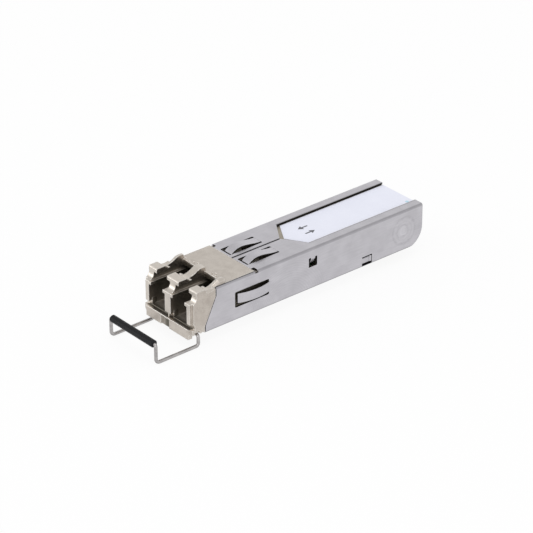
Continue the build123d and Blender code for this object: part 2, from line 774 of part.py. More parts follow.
# Latch lever: rocks on its pin, with the holding boss at its rear end.
# Its profile is drawn with the boss down, on a plane tilted to the released rest.
arm_length = hinge_y - lever_pivot_y
release_angle = crank_offset / arm_length      # radians
lever_plane = Plane(
    origin=(0, -lever_pivot_y, lever_pivot_z),
    x_dir=(0, cos(release_angle), sin(release_angle)),
    z_dir=(1, 0, 0),
)
arm_low = hinge_z + crank_offset + wire_diameter / 2 + lever_arm_gap - lever_pivot_z
arm_high = arm_low + lever_thickness
rear_low = arm_low - lever_rear_step
rear_high = rear_low + lever_thickness
boss_low = -boss_drop - lever_pivot_z
boss_start = lever_pivot_y - boss_front
boss_end = boss_start + boss_length
with BuildPart() as latch_lever:
    with BuildSketch(lever_plane) as lever_side:
        Polygon(
            (-arm_length - lever_tip, arm_low),
            (-lever_eye_radius, arm_low),
            (lever_eye_radius, rear_low),
            (boss_end, rear_low),
            (boss_end, rear_high),
            (lever_eye_radius, rear_high),
            (-lever_eye_radius, arm_high),
            (-arm_length - lever_tip, arm_high),
            align=None,
        )
        Circle(lever_eye_radius)
    extrude(amount=lever_width / 2, both=True)
    with BuildSketch(lever_plane) as boss_side:
        Polygon(
            (boss_start, rear_high),
            (boss_start, boss_low),
            (boss_start + 0.5, boss_low),
            (boss_end, rear_low),
            (boss_end, rear_high),
            align=None,
        )
    extrude(amount=boss_width / 2, both=True)
    with BuildSketch(lever_plane) as lever_bore:
        Circle(lever_pin_diameter / 2 + pivot_clearance)
    extrude(amount=lever_width, both=True, mode=Mode.SUBTRACT)
latch_lever.part.label = "latch_lever"
export_step(latch_lever.part, "parts/latch_lever.step")


# Latch pin: pressed across the nose's cavity
with BuildPart() as latch_pin:
    with BuildSketch(Plane.YZ) as pin_section:
        with Locations((-lever_pivot_y, lever_pivot_z)):
            Circle(lever_pin_diameter / 2)
    extrude(amount=lever_pin_length / 2, both=True)
latch_pin.part.label = "latch_pin"
export_step(latch_pin.part, "parts/latch_pin.step")


# Latch spring: bowed leaf between the cavity's ceiling and the lever's arm
with BuildPart() as latch_spring:
    spring_top = cavity_ceiling - 0.02
    spring_middle = -hinge_y + 0.55
    with BuildSketch(Plane.YZ) as spring_side:
        add(bowed_strip(
            (
                (spring_middle - spring_length / 2, spring_top),
                (spring_middle, spring_top - spring_bow),
                (spring_middle + spring_length / 2, spring_top),
            ),
            (0, -spring_strip),
        ))
    extrude(amount=lever_width / 2 - 0.4, both=True)
latch_spring.part.label = "latch_spring"
export_step(latch_spring.part, "parts/latch_spring.step")


# Rear frame: casting under the flaps, with thin skirts beside the board
half_inner = half_body - skirt
frame_bottom = sheet + 0.1
with BuildPart() as rear_frame:
    with BuildSketch(Plane.XZ.offset(frame_rear)) as frame_section:
        with Locations((0, frame_bottom)):
            Rectangle(body_width, frame_top - frame_bottom, align=(Align.CENTER, Align.MIN))
            Rectangle(
                2 * half_inner,
                frame_top - frame_roof - frame_bottom,
                align=(Align.CENTER, Align.MIN),
                mode=Mode.SUBTRACT,
            )
    extrude(amount=frame_front - frame_rear)

    # Rails over the long edges of the board, and the thick shoulder above its tongue
    with BuildSketch(Plane.XZ.offset(bottom_open)) as board_rails:
        for side in (-1, 1):
            with Locations((side * half_inner, board_top + board_clearance)):
                Rectangle(2 * rail_reach, rail_height, align=(Align.CENTER, Align.MIN))
    extrude(amount=frame_front - bottom_open - 1)
    with BuildSketch(Plane.XZ.offset(frame_rear)) as shoulder_section:
        with Locations((0, board_top + shoulder_above_board)):
            Rectangle(
                2 * half_inner + skirt,
                frame_top - board_top - shoulder_above_board,
                align=(Align.CENTER, Align.MIN),
            )
    extrude(amount=shoulder_block_length)

    # Lower rear corners follow the shell, and openings face its lock windows and lances
    with BuildSketch(Plane.YZ) as frame_corner_cut:
        with Locations((-rear_corner_radius, 0)):
            Rectangle(2 * rear_corner_radius, rear_corner_radius, align=(Align.MIN, Align.MIN))
        with Locations((-rear_corner_radius, rear_corner_radius)):
            Circle(rear_corner_radius - frame_rear, mode=Mode.SUBTRACT)
    extrude(amount=half_shell, both=True, mode=Mode.SUBTRACT)
    with BuildSketch(Plane.YZ) as skirt_openings:
        with Locations((-lock_y, (lock_low + lock_high) / 2)):
            Rectangle(lock_length + 0.4, lock_high - lock_low + 0.4)
        with Locations((-(lance_front + lance_rear) / 2, lance_high / 2)):
            Rectangle(lance_front - lance_rear + 0.8, lance_high + 2 * lance_slit)
    extrude(amount=half_shell, both=True, mode=Mode.SUBTRACT)
rear_frame.part.label = "rear_frame"
export_step(rear_frame.part, "parts/rear_frame.step")


# Label: thin sticker on the frame's roof, in the shell's window
with BuildPart() as label:
    with BuildSketch(Plane.XY.offset(frame_top)) as label_outline:
        Polygon(
            (0, -label_tip),
            (label_half_width, -label_shoulder),
            (label_half_width, -label_rear),
            (-label_half_width, -label_rear),
            (-label_half_width, -label_shoulder),
            align=None,
        )
    extrude(amount=label_thickness)
label.part.label = "label"
export_step(label.part, "parts/label.step")


# Board support: moulded tray of ribs between the shell's bottom and the board
with BuildPart() as board_support:
    support_length = board_front - bottom_open - 0.3
    with BuildSketch(Plane.XY.offset(sheet + 0.02)) as support_plan:
        with Locations((0, -bottom_open - 0.15)):
            Rectangle(board_width, support_length, align=(Align.CENTER, Align.MAX))
        cell_length = (support_length - support_rib * (support_cells + 1)) / support_cells
        cell_width = (board_width - 3 * support_rib) / 2
        for column in (-1, 1):
            for row in range(support_cells):
                cell_y = -bottom_open - 0.15 - support_rib - row * (cell_length + support_rib)
                with Locations((column * (cell_width + support_rib) / 2, cell_y)):
                    Rectangle(cell_width, cell_length, align=(Align.CENTER, Align.MAX), mode=Mode.SUBTRACT)
    extrude(amount=board_bottom - sheet - 0.04)
board_support.part.label = "board_support"
export_step(board_support.part, "parts/board_support.step")


# Circuit board with its card-edge tongue
with BuildPart() as circuit_board:
    with BuildSketch(Plane.XY.offset(board_bottom)) as board_outline:
        with Locations((0, -board_rear - tongue_length)):
            Rectangle(board_width, board_front - board_rear - tongue_length, align=(Align.CENTER, Align.MAX))
            Rectangle(tongue_width, tongue_length, align=(Align.CENTER, Align.MIN))
        chamfer(board_outline.vertices().group_by(Axis.Y)[-1], tongue_chamfer)
    extrude(amount=board_thickness)
circuit_board.part.label = "circuit_board"
export_step(circuit_board.part, "parts/circuit_board.step")


# Card-edge contacts, one row on each face of the tongue
contact_y = -board_rear - contact_setback - contact_length / 2
for face, level in (("top", board_top), ("bottom", board_bottom - contact_thickness)):
    with BuildPart() as edge_contacts:
        with BuildSketch(Plane.XY.offset(level)) as contact_row:
            with Locations((0, contact_y)):
                with GridLocations(contact_pitch, 1, contact_count, 1):
                    Rectangle(contact_width, contact_length)
        extrude(amount=contact_thickness)
    edge_contacts.part.label = "edge_contacts_" + face
    export_step(edge_contacts.part, "parts/edge_contacts_" + face + ".step")


# Optical barrels, their split sleeves and the sealed cans behind them, one set a side
sleeve_inner = ferrule_bore / 2
sleeve_outer = sleeve_inner + sleeve_wall
for name, x in (("transmitter", -half_pitch), ("receiver", half_pitch)):
    axis = Axis((x, 0, axis_z), (0, -1, 0))
    axis_plane = Plane(origin=(x, 0, axis_z), x_dir=(0, -1, 0), z_dir=(-1, 0, 0))

    with BuildPart() as barrel:
        with BuildSketch(axis_plane) as barrel_section:
            Polygon(
                (barrel_tip, sleeve_inner + 0.2),
                (barrel_tip, barrel_nose_diameter / 2 - 0.2),
                (barrel_tip - 0.2, barrel_nose_diameter / 2),
                (barrel_flange_front, barrel_nose_diameter / 2),
                (barrel_flange_front, barrel_flange_diameter / 2),
                (barrel_flange_front - barrel_flange_length, barrel_flange_diameter / 2),
                (barrel_flange_front - barrel_flange_length, barrel_neck_diameter / 2),
                (barrel_rear + 1.6, barrel_neck_diameter / 2),
                (barrel_rear + 1.4, can_diameter / 2),
                (barrel_rear, can_diameter / 2),
                (barrel_rear, 0.4),
                (sleeve_rear, 0.4),
                (sleeve_rear, sleeve_outer + 0.02),
                (barrel_tip - 0.4, sleeve_outer + 0.02),
                (barrel_tip - 0.4, sleeve_inner + 0.2),
                align=None,
            )
        revolve(axis=axis)
    barrel.part.label = name + "_barrel"
    export_step(barrel.part, "parts/" + name + "_barrel.step")

    with BuildPart() as split_sleeve:
        with BuildSketch(Plane.XZ.offset(sleeve_rear + 0.05)) as split_section:
            with Locations((x, axis_z)):
                Circle(sleeve_outer)
                Circle(sleeve_inner, mode=Mode.SUBTRACT)
                Rectangle(sleeve_slit, 2 * sleeve_outer, align=(Align.CENTER, Align.MIN), mode=Mode.SUBTRACT)
        extrude(amount=barrel_tip - 0.45 - sleeve_rear - 0.05)
    split_sleeve.part.label = name + "_sleeve"
    export_step(split_sleeve.part, "parts/" + name + "_sleeve.step")

    with BuildPart() as can:
        with BuildSketch(axis_plane) as can_section:
            can_front = barrel_rear - 0.02
            Polygon(
                (can_front, 0),
                (can_front, can_diameter / 2),
                (can_front - can_length, can_diameter / 2),
                (can_front - can_length, can_header_diameter / 2),
                (can_front - can_length - can_header_length, can_header_diameter / 2),
                (can_front - can_length - can_header_length, 0),
                align=None,
            )
        revolve(axis=axis)
    can.part.label = name + "_can"
    export_step(can.part, "parts/" + name + "_can.step")

    # Flexible circuit from the can's back down to the board
    flex_y = -(can_front - can_length - can_header_length) + flex_gap + flex_thickness / 2
    flex_z = board_top + flex_gap + flex_thickness / 2
    with BuildPart() as flex:
        with BuildSketch(Plane.YZ.offset(x)) as flex_side:
            with BuildLine():
                FilletPolyline(
                    (flex_y, axis_z + flex_width / 2),
                    (flex_y, flex_z),
                    (-board_front + flex_landing, flex_z),
                    radius=flex_bend,
                )
            trace(line_width=flex_thickness)
        extrude(amount=flex_width / 2, both=True)
    flex.part.label = name + "_flex"
    export_step(flex.part, "parts/" + name + "_flex.step")


# Barrel clamp: lower half of the plate that holds both barrel necks
with BuildPart() as barrel_clamp:
    with BuildSketch(Plane.XZ.offset(clamp_y + clamp_length / 2)) as clamp_section:
        with Locations((0, clamp_bottom)):
            Rectangle(bay_width - seat_clearance, axis_z - clamp_bottom, align=(Align.CENTER, Align.MIN))
        with Locations((-half_pitch, axis_z), (half_pitch, axis_z)):
            Circle(barrel_neck_diameter / 2 + seat_clearance, mode=Mode.SUBTRACT)
    extrude(amount=-clamp_length)
barrel_clamp.part.label = "barrel_clamp"
export_step(barrel_clamp.part, "parts/barrel_clamp.step")


# Chips on the top of the board: name, width, length, height, place
driver_y = -board_front + flex_landing + driver_spacing
controller_y = driver_y + controller_spacing
memory_y = controller_y + memory_spacing
chips = (
    ("laser_driver", 4.0, 4.0, 0.85, -half_pitch + 0.4, driver_y),
    ("receiver_amplifier", 3.0, 3.0, 0.75, half_pitch - 0.2, driver_y - amplifier_stagger),
    ("controller", 5.0, 5.0, 0.9, controller_x, controller_y),
    ("memory_chip", 2.9, 1.9, 1.1, -board_width / 2 + memory_inset, memory_y),
)
for name, width, length, height, x, y in chips:
    with BuildPart() as chip:
        with BuildSketch(Plane.XY.offset(board_top)) as chip_plan:
            with Locations((x, y)):
                Rectangle(width, length)
        extrude(amount=height)
        chamfer(chip.faces().sort_by(Axis.Z)[-1].edges(), chip_edge)
        with BuildSketch(Plane.XY.offset(board_top + height)) as pin_one_mark:
            with Locations((x - width / 2 + 0.6, y + length / 2 - 0.6)):
                Circle(0.2)
        extrude(amount=-0.06, mode=Mode.SUBTRACT)
    chip.part.label = name
    export_step(chip.part, "parts/" + name + ".step")


# Small resistors and capacitors round the chips
with BuildPart() as small_components:
    with BuildSketch(Plane.XY.offset(board_top)) as component_plan:
        column_x = board_width / 2 - component_margin
        left_place = (-column_x, controller_y - component_length)
        right_place = (column_x - component_offset, controller_y)
        with Locations(left_place, right_place):
            with GridLocations(1, component_pitch + component_gap, 1, 5):
                Rectangle(component_width, component_length)
        with Locations((component_offset, (driver_y + controller_y) / 2 - component_length * 0.7)):
            with GridLocations(component_pitch, 1, 4, 1):
                Rectangle(component_length, component_width)
        with Locations((bank_x, memory_y + component_width)):
            with GridLocations(component_pitch, component_pitch, 3, 2):
                Rectangle(component_length, component_width)
    extrude(amount=component_height)
small_components.part.label = "small_components"
export_step(small_components.part, "parts/small_components.step")
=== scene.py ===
# %% [markdown]
# This lesson dresses the packed model of a small pluggable fibre transceiver: a folded
# steel shell, a die-cast nose with two plug ports, a wire bail with a soft black tube on
# its grip, and a pale label. The packed model already has the right shapes and sizes, so
# most of the work is in the finishes. Everything is in metres and in the model's own
# frame: X across the module, the ports towards -Y, Z up.

# %% Load the packed model
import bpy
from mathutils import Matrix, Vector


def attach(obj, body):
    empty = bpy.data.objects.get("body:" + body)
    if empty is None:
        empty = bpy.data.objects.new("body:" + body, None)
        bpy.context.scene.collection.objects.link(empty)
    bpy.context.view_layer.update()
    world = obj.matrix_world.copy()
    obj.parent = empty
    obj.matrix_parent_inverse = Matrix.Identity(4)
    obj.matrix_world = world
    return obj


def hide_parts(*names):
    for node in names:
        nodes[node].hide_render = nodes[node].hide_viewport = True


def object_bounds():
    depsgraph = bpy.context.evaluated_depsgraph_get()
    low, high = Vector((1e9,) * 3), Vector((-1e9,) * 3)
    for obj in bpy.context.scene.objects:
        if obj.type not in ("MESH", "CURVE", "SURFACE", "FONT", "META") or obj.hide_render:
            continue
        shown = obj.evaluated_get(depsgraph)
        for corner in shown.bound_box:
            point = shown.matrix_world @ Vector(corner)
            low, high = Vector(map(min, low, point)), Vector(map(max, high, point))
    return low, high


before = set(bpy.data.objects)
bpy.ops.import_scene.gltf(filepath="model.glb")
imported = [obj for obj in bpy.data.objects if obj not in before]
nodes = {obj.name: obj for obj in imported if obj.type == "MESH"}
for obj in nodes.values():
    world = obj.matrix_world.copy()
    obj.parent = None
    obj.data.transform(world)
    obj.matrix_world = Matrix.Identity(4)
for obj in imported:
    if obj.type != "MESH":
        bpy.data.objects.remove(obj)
cad_box = [list(corner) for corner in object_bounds()]

from math import cos, pi, radians, sin

import bmesh
import bpy
from mathutils import Matrix, Vector, noise

MM = 0.001


def in_mm(box):
    """The corners of a box in millimetres, short enough to print."""
    return [[round(value / MM, 2) for value in corner] for corner in box]


print("nodes:", len(nodes), "box in mm:", in_mm(cad_box))

# %% [markdown]
# A finish is built from small numbers that vary over a surface: how far a point is from
# a ring, how noisy the metal is just there. Blender computes those with Math nodes. A
# small class stands for one such number, so that an ordinary expression such as
# 1 - mask adds the node for it, and the recipe for a finish stays readable.

# %% A number that varies over a surface
class Signal:
    """One output of a node, with the arithmetic that adds Math nodes."""

    def __init__(self, tree, node, output=0):
        self.tree = tree
        self.node = node
        self.socket = node.outputs[output] if node.outputs else None

    def math(self, operation, *others):
        inputs = dict(enumerate((self,) + others))
        return self.tree.add("ShaderNodeMath", {"operation": operation}, inputs)

    def __add__(self, other):
        return self.math("ADD", other)

    def __sub__(self, other):
        return self.math("SUBTRACT", other)

    def __mul__(self, other):
        return self.math("MULTIPLY", other)

    def __truediv__(self, other):
        return self.math("DIVIDE", other)

    def __pow__(self, other):
        return self.math("POWER", other)

    def __rsub__(self, other):
        return self.tree.add("ShaderNodeMath", {"operation": "SUBTRACT"}, {0: other, 1: self})

    __radd__ = __add__
    __rmul__ = __mul__

    def __abs__(self):
        return self.math("ABSOLUTE")

    def rise(self, low, high):
        """0 below low and 1 above high, with a smooth step; high below low turns it round."""
        return self.tree.add(
            "ShaderNodeMapRange",
            {"interpolation_type": "SMOOTHSTEP", "clamp": True},
            {"Value": self, "From Min": low, "From Max": high, "To Min": 0.0, "To Max": 1.0},
        )

    def within(self, low, high, soft):
        """1 between low and high, fading to 0 over the soft width outside."""
        return self.rise(low - soft, low) * self.rise(high + soft, high)

    def swing(self, amount):
        """Noise, which lies round a half, as a change of up to half the amount either way."""
        return (self - 0.5) * amount


operations = [name for name in vars(Signal) if callable(getattr(Signal, name))]
print("a signal has", len(operations), "methods")

# %% [markdown]
# The nodes of a material, or of the world around it, form a tree. A second class holds
# one tree and has one method that adds any node: first the node's own settings, then the
# values or links of its sockets.

# %% A tree of nodes
class NodeTree:
    """The nodes of one material or of the world."""

    def __init__(self, tree):
        self.tree = tree
        self.tree.nodes.clear()

    def feed(self, node, inputs):
        for key, value in inputs.items():
            if isinstance(value, Signal):
                self.tree.links.new(value.socket, node.inputs[key])
            else:
                node.inputs[key].default_value = value

    def add(self, kind, settings, inputs, output=0):
        node = self.tree.nodes.new(kind)
        for key, value in settings.items():
            setattr(node, key, value)
        self.feed(node, inputs)
        return Signal(self, node, output)

    def split(self, vector):
        """The three numbers of a vector."""
        return [self.add("ShaderNodeSeparateXYZ", {}, {0: vector}, axis) for axis in range(3)]


print("a tree of nodes can be filled")

# %% [markdown]
# A finish is such a tree that ends in one main shader. Twenty of them could be wired by
# hand, but the same few groups of nodes come back in each, so a class keeps them: noise,
# a mix of two colours, relief, and edges rounded by wear. Place on the surface comes
# from Object coordinates, which are the model's own metres here, so a pattern can be put
# exactly where the photograph shows it, in millimetres.

# %% A finish
BEVEL_SAMPLES = 6
EDGE_MATCH = (0.985, 0.86)


class Finish(NodeTree):
    """One material: a Principled shader and the nodes that feed it."""

    def __init__(self, name, **sockets):
        self.material = bpy.data.materials.new(name)
        self.material.use_nodes = True
        super().__init__(self.material.node_tree)
        self.shader = self.add("ShaderNodeBsdfPrincipled", {}, {})
        self.out = self.add("ShaderNodeOutputMaterial", {}, {"Surface": self.shader})
        self.shade(**sockets)

    def shade(self, **sockets):
        """Feeds the main shader with plain values, or with the signals that vary."""
        named = {key.replace("_", " "): value for key, value in sockets.items()}
        self.feed(self.shader.node, named)

    def place(self):
        """The point on the surface in millimetres, as one vector and as its three numbers."""
        metres = self.add("ShaderNodeTexCoord", {}, {}, "Object")
        inputs = {0: metres, "Scale": 1 / MM}
        point = self.add("ShaderNodeVectorMath", {"operation": "SCALE"}, inputs)
        return point, self.split(point)

    def flat_direction(self):
        """The direction that the flat face points in, before any smoothing."""
        return self.add("ShaderNodeNewGeometry", {}, {}, "True Normal")

    def facing(self):
        """The three numbers of the flat face's direction."""
        return self.split(self.flat_direction())

    def stretch(self, point, scale):
        return self.add("ShaderNodeVectorMath", {"operation": "MULTIPLY"}, {0: point, 1: scale})

    def noise(self, point, scale, detail=3.0, roughness=0.55):
        return self.add(
            "ShaderNodeTexNoise",
            {"noise_dimensions": "3D"},
            {"Vector": point, "Scale": scale, "Detail": detail, "Roughness": roughness},
        )

    def mix(self, factor, first, second):
        """Between two colours, the first where the factor is 0."""
        return self.add(
            "ShaderNodeMix",
            {"data_type": "RGBA", "clamp_factor": True},
            {0: factor, 6: first, 7: second},
            2,
        )

    def soft_edges(self, radius):
        """The surface's direction with its edges rounded, as die wear and tumbling leave them."""
        settings = {"samples": BEVEL_SAMPLES}
        return self.add("ShaderNodeBevel", settings, {"Radius": radius * MM}, "Normal")

    def edge_mask(self, rounded):
        """1 along the edges, where the rounded direction leaves that of the flat face."""
        match = self.add(
            "ShaderNodeVectorMath",
            {"operation": "DOT_PRODUCT"},
            {0: rounded, 1: self.flat_direction()},
            "Value",
        )
        return match.rise(*EDGE_MATCH)

    def bump(self, height, distance, strength=1.0, normal=None):
        """Relief whose height signal of 1 stands the distance in millimetres proud."""
        inputs = {"Height": height, "Distance": distance * MM, "Strength": strength}
        if normal is not None:
            inputs["Normal"] = normal
        return self.add("ShaderNodeBump", {}, inputs, "Normal")


def colour(red, green, blue):
    """A colour as it looks on screen, 0 to 255, turned by the sRGB curve into its light."""
    linear = []
    for value in (red / 255, green / 255, blue / 255):
        linear.append(value / 12.92 if value <= 0.04045 else ((value + 0.055) / 1.055) ** 2.4)
    return (*linear, 1.0)


finishes = {}
print("a pale grey of 200 is", round(colour(200, 200, 200)[0], 3), "of full light")

# %% [markdown]
# The camera looks down on the module from the right and in front of its nose. A long
# lens far away gives the nearly parallel edges of the photograph. The two angles say
# where the camera stands; the two small shifts say which point it looks at.

# %% Camera
CAMERA_AZIMUTH = radians(49.758)
CAMERA_ELEVATION = radians(28.776)
AIM = Vector((0, -28, 4.25)) * MM
AIM_RIGHT = -3.756 * MM
AIM_UP = -1.944 * MM
CAMERA_DISTANCE = 522.671 * MM
CAMERA_NEAR = 0.05
FOCAL_PIXELS = 2821.6
IMAGE_PIXELS = 533
SENSOR = 36.0

back = Vector((
    sin(CAMERA_AZIMUTH) * cos(CAMERA_ELEVATION),
    -cos(CAMERA_AZIMUTH) * cos(CAMERA_ELEVATION),
    sin(CAMERA_ELEVATION),
))
right = Vector((0, 0, 1)).cross(back).normalized()
up = back.cross(right)
camera_data = bpy.data.cameras.new("camera")
camera_data.sensor_width = SENSOR
camera_data.lens = FOCAL_PIXELS / IMAGE_PIXELS * SENSOR
camera_data.clip_start = CAMERA_NEAR
camera = bpy.data.objects.new("camera", camera_data)
bpy.context.scene.collection.objects.link(camera)
camera.matrix_world = Matrix.Translation(
    AIM + right * AIM_RIGHT + up * AIM_UP + back * CAMERA_DISTANCE
) @ Matrix((right, up, back)).transposed().to_4x4()
bpy.context.scene.camera = camera
print("lens in mm:", round(camera_data.lens, 2))

# %% [markdown]
# The photograph is a studio cut-out on white, so the room is a white floor under a
# white sky. Satin metal looks like whatever it faces, so the room must be bright nearly
# everywhere, and a little dimmer overhead, which is what turns the top of the shell a
# shade darker than its side. The sky is plain world light: full white for the camera,
# and a gentle ramp from the horizon to overhead for everything that falls on the metal.

# %% World
SKY_LOW = 1.3
SKY_HIGH = 0.78
world = bpy.data.worlds.new("studio")
bpy.context.scene.world = world
world.use_nodes = True
sky = NodeTree(world.node_tree)
sky_place = sky.add("ShaderNodeTexCoord", {}, {}, "Generated")
sky_height = sky.split(sky_place)[2].math("MAXIMUM", 0.0)
sky_level = SKY_LOW - sky_height * (SKY_LOW - SKY_HIGH)
sky_eye = sky.add("ShaderNodeLightPath", {}, {}, "Is Camera Ray")
sky_strength = sky_level + sky_eye * (1 - sky_level)
sky_light = sky.add("ShaderNodeBackground", {}, {"Strength": sky_strength})
sky.add("ShaderNodeOutputWorld", {}, {"Surface": sky_light})
print("sky from", SKY_LOW, "to", SKY_HIGH)

# %% [markdown]
# The floor lies just under the lowest point, the runs of the bail's legs. It is plain
# white paper. To the camera it shines as white by itself, and to the metal that mirrors
# it a little less, mixed with just enough ordinary paper for the module's soft shadow
# to stay on it.

# %% Floor
FLOOR_SIZE = 3.0
FLOOR_GAP = 0.02 * MM
PAPER_WHITE = (0.97, 0.97, 0.97, 1.0)
PAPER_ROUGHNESS = 0.9
PAPER_GLOW = 0.9
PAPER_SEEN = 1.0
PAPER_MIRRORED = 0.88
floor_mesh = bpy.data.meshes.new("floor")
half = FLOOR_SIZE / 2
floor_level = cad_box[0][2] - FLOOR_GAP
floor_sides = ((-half, -half), (half, -half), (half, half), (-half, half))
floor_corners = [(across, along, floor_level) for across, along in floor_sides]
floor_mesh.from_pydata(floor_corners, [], [(0, 1, 2, 3)])
floor = bpy.data.objects.new("floor", floor_mesh)
bpy.context.scene.collection.objects.link(floor)
paper = Finish("white_paper", Specular_IOR_Level=0.0)
paper.shade(Base_Color=PAPER_WHITE, Roughness=PAPER_ROUGHNESS)
eye = paper.add("ShaderNodeLightPath", {}, {}, "Is Camera Ray")
mirrored_eye = paper.add("ShaderNodeLightPath", {}, {}, "Is Glossy Ray")
shine = eye * PAPER_SEEN + mirrored_eye * PAPER_MIRRORED
glow = paper.add("ShaderNodeEmission", {}, {"Strength": shine})
share = (eye + mirrored_eye) * PAPER_GLOW
blend = paper.add("ShaderNodeMixShader", {}, {0: share, 1: paper.shader, 2: glow})
paper.feed(paper.out.node, {"Surface": blend})
floor_mesh.materials.append(paper.material)
print("floor at", round(floor_level / MM, 3), "mm")

# %% [markdown]
# Three large soft lamps give the metal its shape: a low one at the front left, which the
# rounded edges of the nose catch as bright lines, one at the right that brightens the
# long side near the nose, and one overhead for the label and the tube. From some side
# or other flat metal mirrors each of them, so the discs are wide and dim: small strong
# ones would burn out the top of the shell when it is seen from behind.

# %% Lamps
LAMPS = [
    # name, where it aims, the direction to it, its distance, its width, its power
    ("key_lamp", (0, -0.05, 0), (-0.67, -0.72, 0.3), 0.6, 0.34, 0.4),
    ("side_lamp", (0, -0.05, 0), (1.0, -0.9, 0.55), 0.6, 0.4, 0.3),
    ("top_lamp", (0, -0.03, 0), (0.35, -0.1, 1.0), 0.9, 0.5, 1.3),
]


def lamp(name, aim, direction, distance, width, power):
    data = bpy.data.lights.new(name, "AREA")
    data.shape = "DISK"
    data.size = width
    data.energy = power
    disc = bpy.data.objects.new(name, data)
    bpy.context.scene.collection.objects.link(disc)
    direction = Vector(direction).normalized()
    disc.location = Vector(aim) + direction * distance
    disc.rotation_euler = direction.to_track_quat("Z", "Y").to_euler()


for row in LAMPS:
    lamp(*row)
print("lamps:", [row[0] for row in LAMPS])

# %% [markdown]
# The shell is thin stainless sheet, folded and then tumbled, which leaves a grey satin
# with fine lines along the module and small clouds of brighter and duller metal. Both
# come from noise: one stretched along the length for the lines, one even for the clouds.

# %% Shell steel
SHELL_GLOSS = 0.36
SHELL_EDGE = 0.07
ALONG_MODULE = (9.0, 0.35, 9.0)
shell_steel = Finish("shell_steel", Metallic=1.0)
point, (x, y, z) = shell_steel.place()
lengthened = shell_steel.stretch(point, ALONG_MODULE)
lines = shell_steel.noise(lengthened, scale=1.0, detail=4.0, roughness=0.6)
clouds = shell_steel.noise(point, scale=0.35, detail=3.0, roughness=0.5)
grain = shell_steel.noise(point, scale=14.0, detail=2.0, roughness=0.5)
tone = (lines * 0.45 + clouds * 0.55).rise(0.3, 0.7)
rough = SHELL_GLOSS + clouds.swing(0.16) + grain.swing(0.1)
relief = lines * 0.5 + grain * 0.5
print("shell steel: gloss", SHELL_GLOSS)

# %% [markdown]
# The shear leaves its own finish. Wherever the sheet is cut, at the fingers, the windows and the
# seam, the narrow face of the cut is torn and rough, and its colour is much darker than the skin:
# partly torn metal, partly painted shade of the gaps beside those edges.
# Those faces are found by their direction: on the sides they don't point sideways, and
# on the top they don't point up. Each place on the shell has a name here. Two numbers
# are where its mask starts and where it is full, in millimetres, or as a share where it
# is a direction; three are the two ends of a strip and how softly it fades.

# %% Sheared faces of the shell
SIDE_SHEET = (6.02, 7.3, 0.02)
OVER_BOTTOM = (0.32, 0.4)
UNDER_FOLD = (8.0, 7.9)
NOT_SIDEWAYS = (0.6, 0.4)
FLAP_SHEET = (7.8, 7.85)
INSIDE_FOLD = (6.3, 6.2)
NOT_UPWARDS = (0.7, 0.5)
facing_x, _, facing_z = shell_steel.facing()
wide = abs(x)
side_cuts = wide.within(*SIDE_SHEET) * abs(facing_x).rise(*NOT_SIDEWAYS)
side_cuts = side_cuts * z.rise(*OVER_BOTTOM) * z.rise(*UNDER_FOLD)
top_cuts = z.rise(*FLAP_SHEET) * abs(facing_z).rise(*NOT_UPWARDS) * wide.rise(*INSIDE_FOLD)
cuts = side_cuts.math("MAXIMUM", top_cuts)
print("cut faces found on the sides and the top")

# %% [markdown]
# Painted shade darkens the folds: one along the top, one along the heel of each side. Painted
# shade also darkens the burr along the edge of the label's window, the edges of the seam, the
# bridge pressed out of the side, and the small rebate at the front corner of each flap.

# %% Painted shade on the folds and edges of the shell
FOLD_ACROSS, FOLD_UP = (6.2, 6.5), (7.95, 8.2)
HEEL_ACROSS, HEEL_DOWN = (6.0, 6.3), (0.55, 0.02)
FLAP_SKIN = (8.44, 8.48)
WINDOW_EDGE, WINDOW_LENGTH = (4.6, 4.8, 0.1), (-26.9, -26.6)
SEAM_EDGE, SEAM_LENGTH = (0.3, 0.2), (-29.8, -30.0)
BRIDGE_ACROSS, BRIDGE_LENGTH = (6.3, 6.5, 0.05), (-14.9, -13.1, 0.1)
BRIDGE_FOOT, BRIDGE_TOP = (1.5, 1.72), (1.9, 1.85)
REBATE_ACROSS, REBATE_LENGTH, REBATE_UP = (6.55, 6.4), (-41.2, -41.3), (8.15, 8.25)
fold = wide.rise(*FOLD_ACROSS) * z.rise(*FOLD_UP)
heel = wide.rise(*HEEL_ACROSS) * z.rise(*HEEL_DOWN)
burr = wide.within(*WINDOW_EDGE) * z.rise(*FLAP_SKIN) * y.rise(*WINDOW_LENGTH)
seam = wide.rise(*SEAM_EDGE) * z.rise(*FLAP_SKIN) * y.rise(*SEAM_LENGTH)
bridge = wide.within(*BRIDGE_ACROSS) * z.rise(*BRIDGE_FOOT) * z.rise(*BRIDGE_TOP)
bridge = bridge * y.within(*BRIDGE_LENGTH)
rebate = wide.rise(*REBATE_ACROSS) * y.rise(*REBATE_LENGTH) * z.rise(*REBATE_UP)
shade = fold * 0.4 + heel * 0.95 + burr * 0.35 + seam * 0.7 + bridge * 0.9 + rebate
shade = shade.math("MINIMUM", 1.0)
print("folds and edges found")

# %% [markdown]
# The press tool has left marks on both long sides: near the rear a round coined boss
# with a small brighter disc in it, scuffed in rings by the tumbling drum, and ahead of
# the lock window a patch of faint arcs. They are only hundredths of a millimetre deep,
# far too shallow to model, so they are drawn as distances from three centres. A noise
# makes those distances wander and breaks the rims here and there, as the drum does.

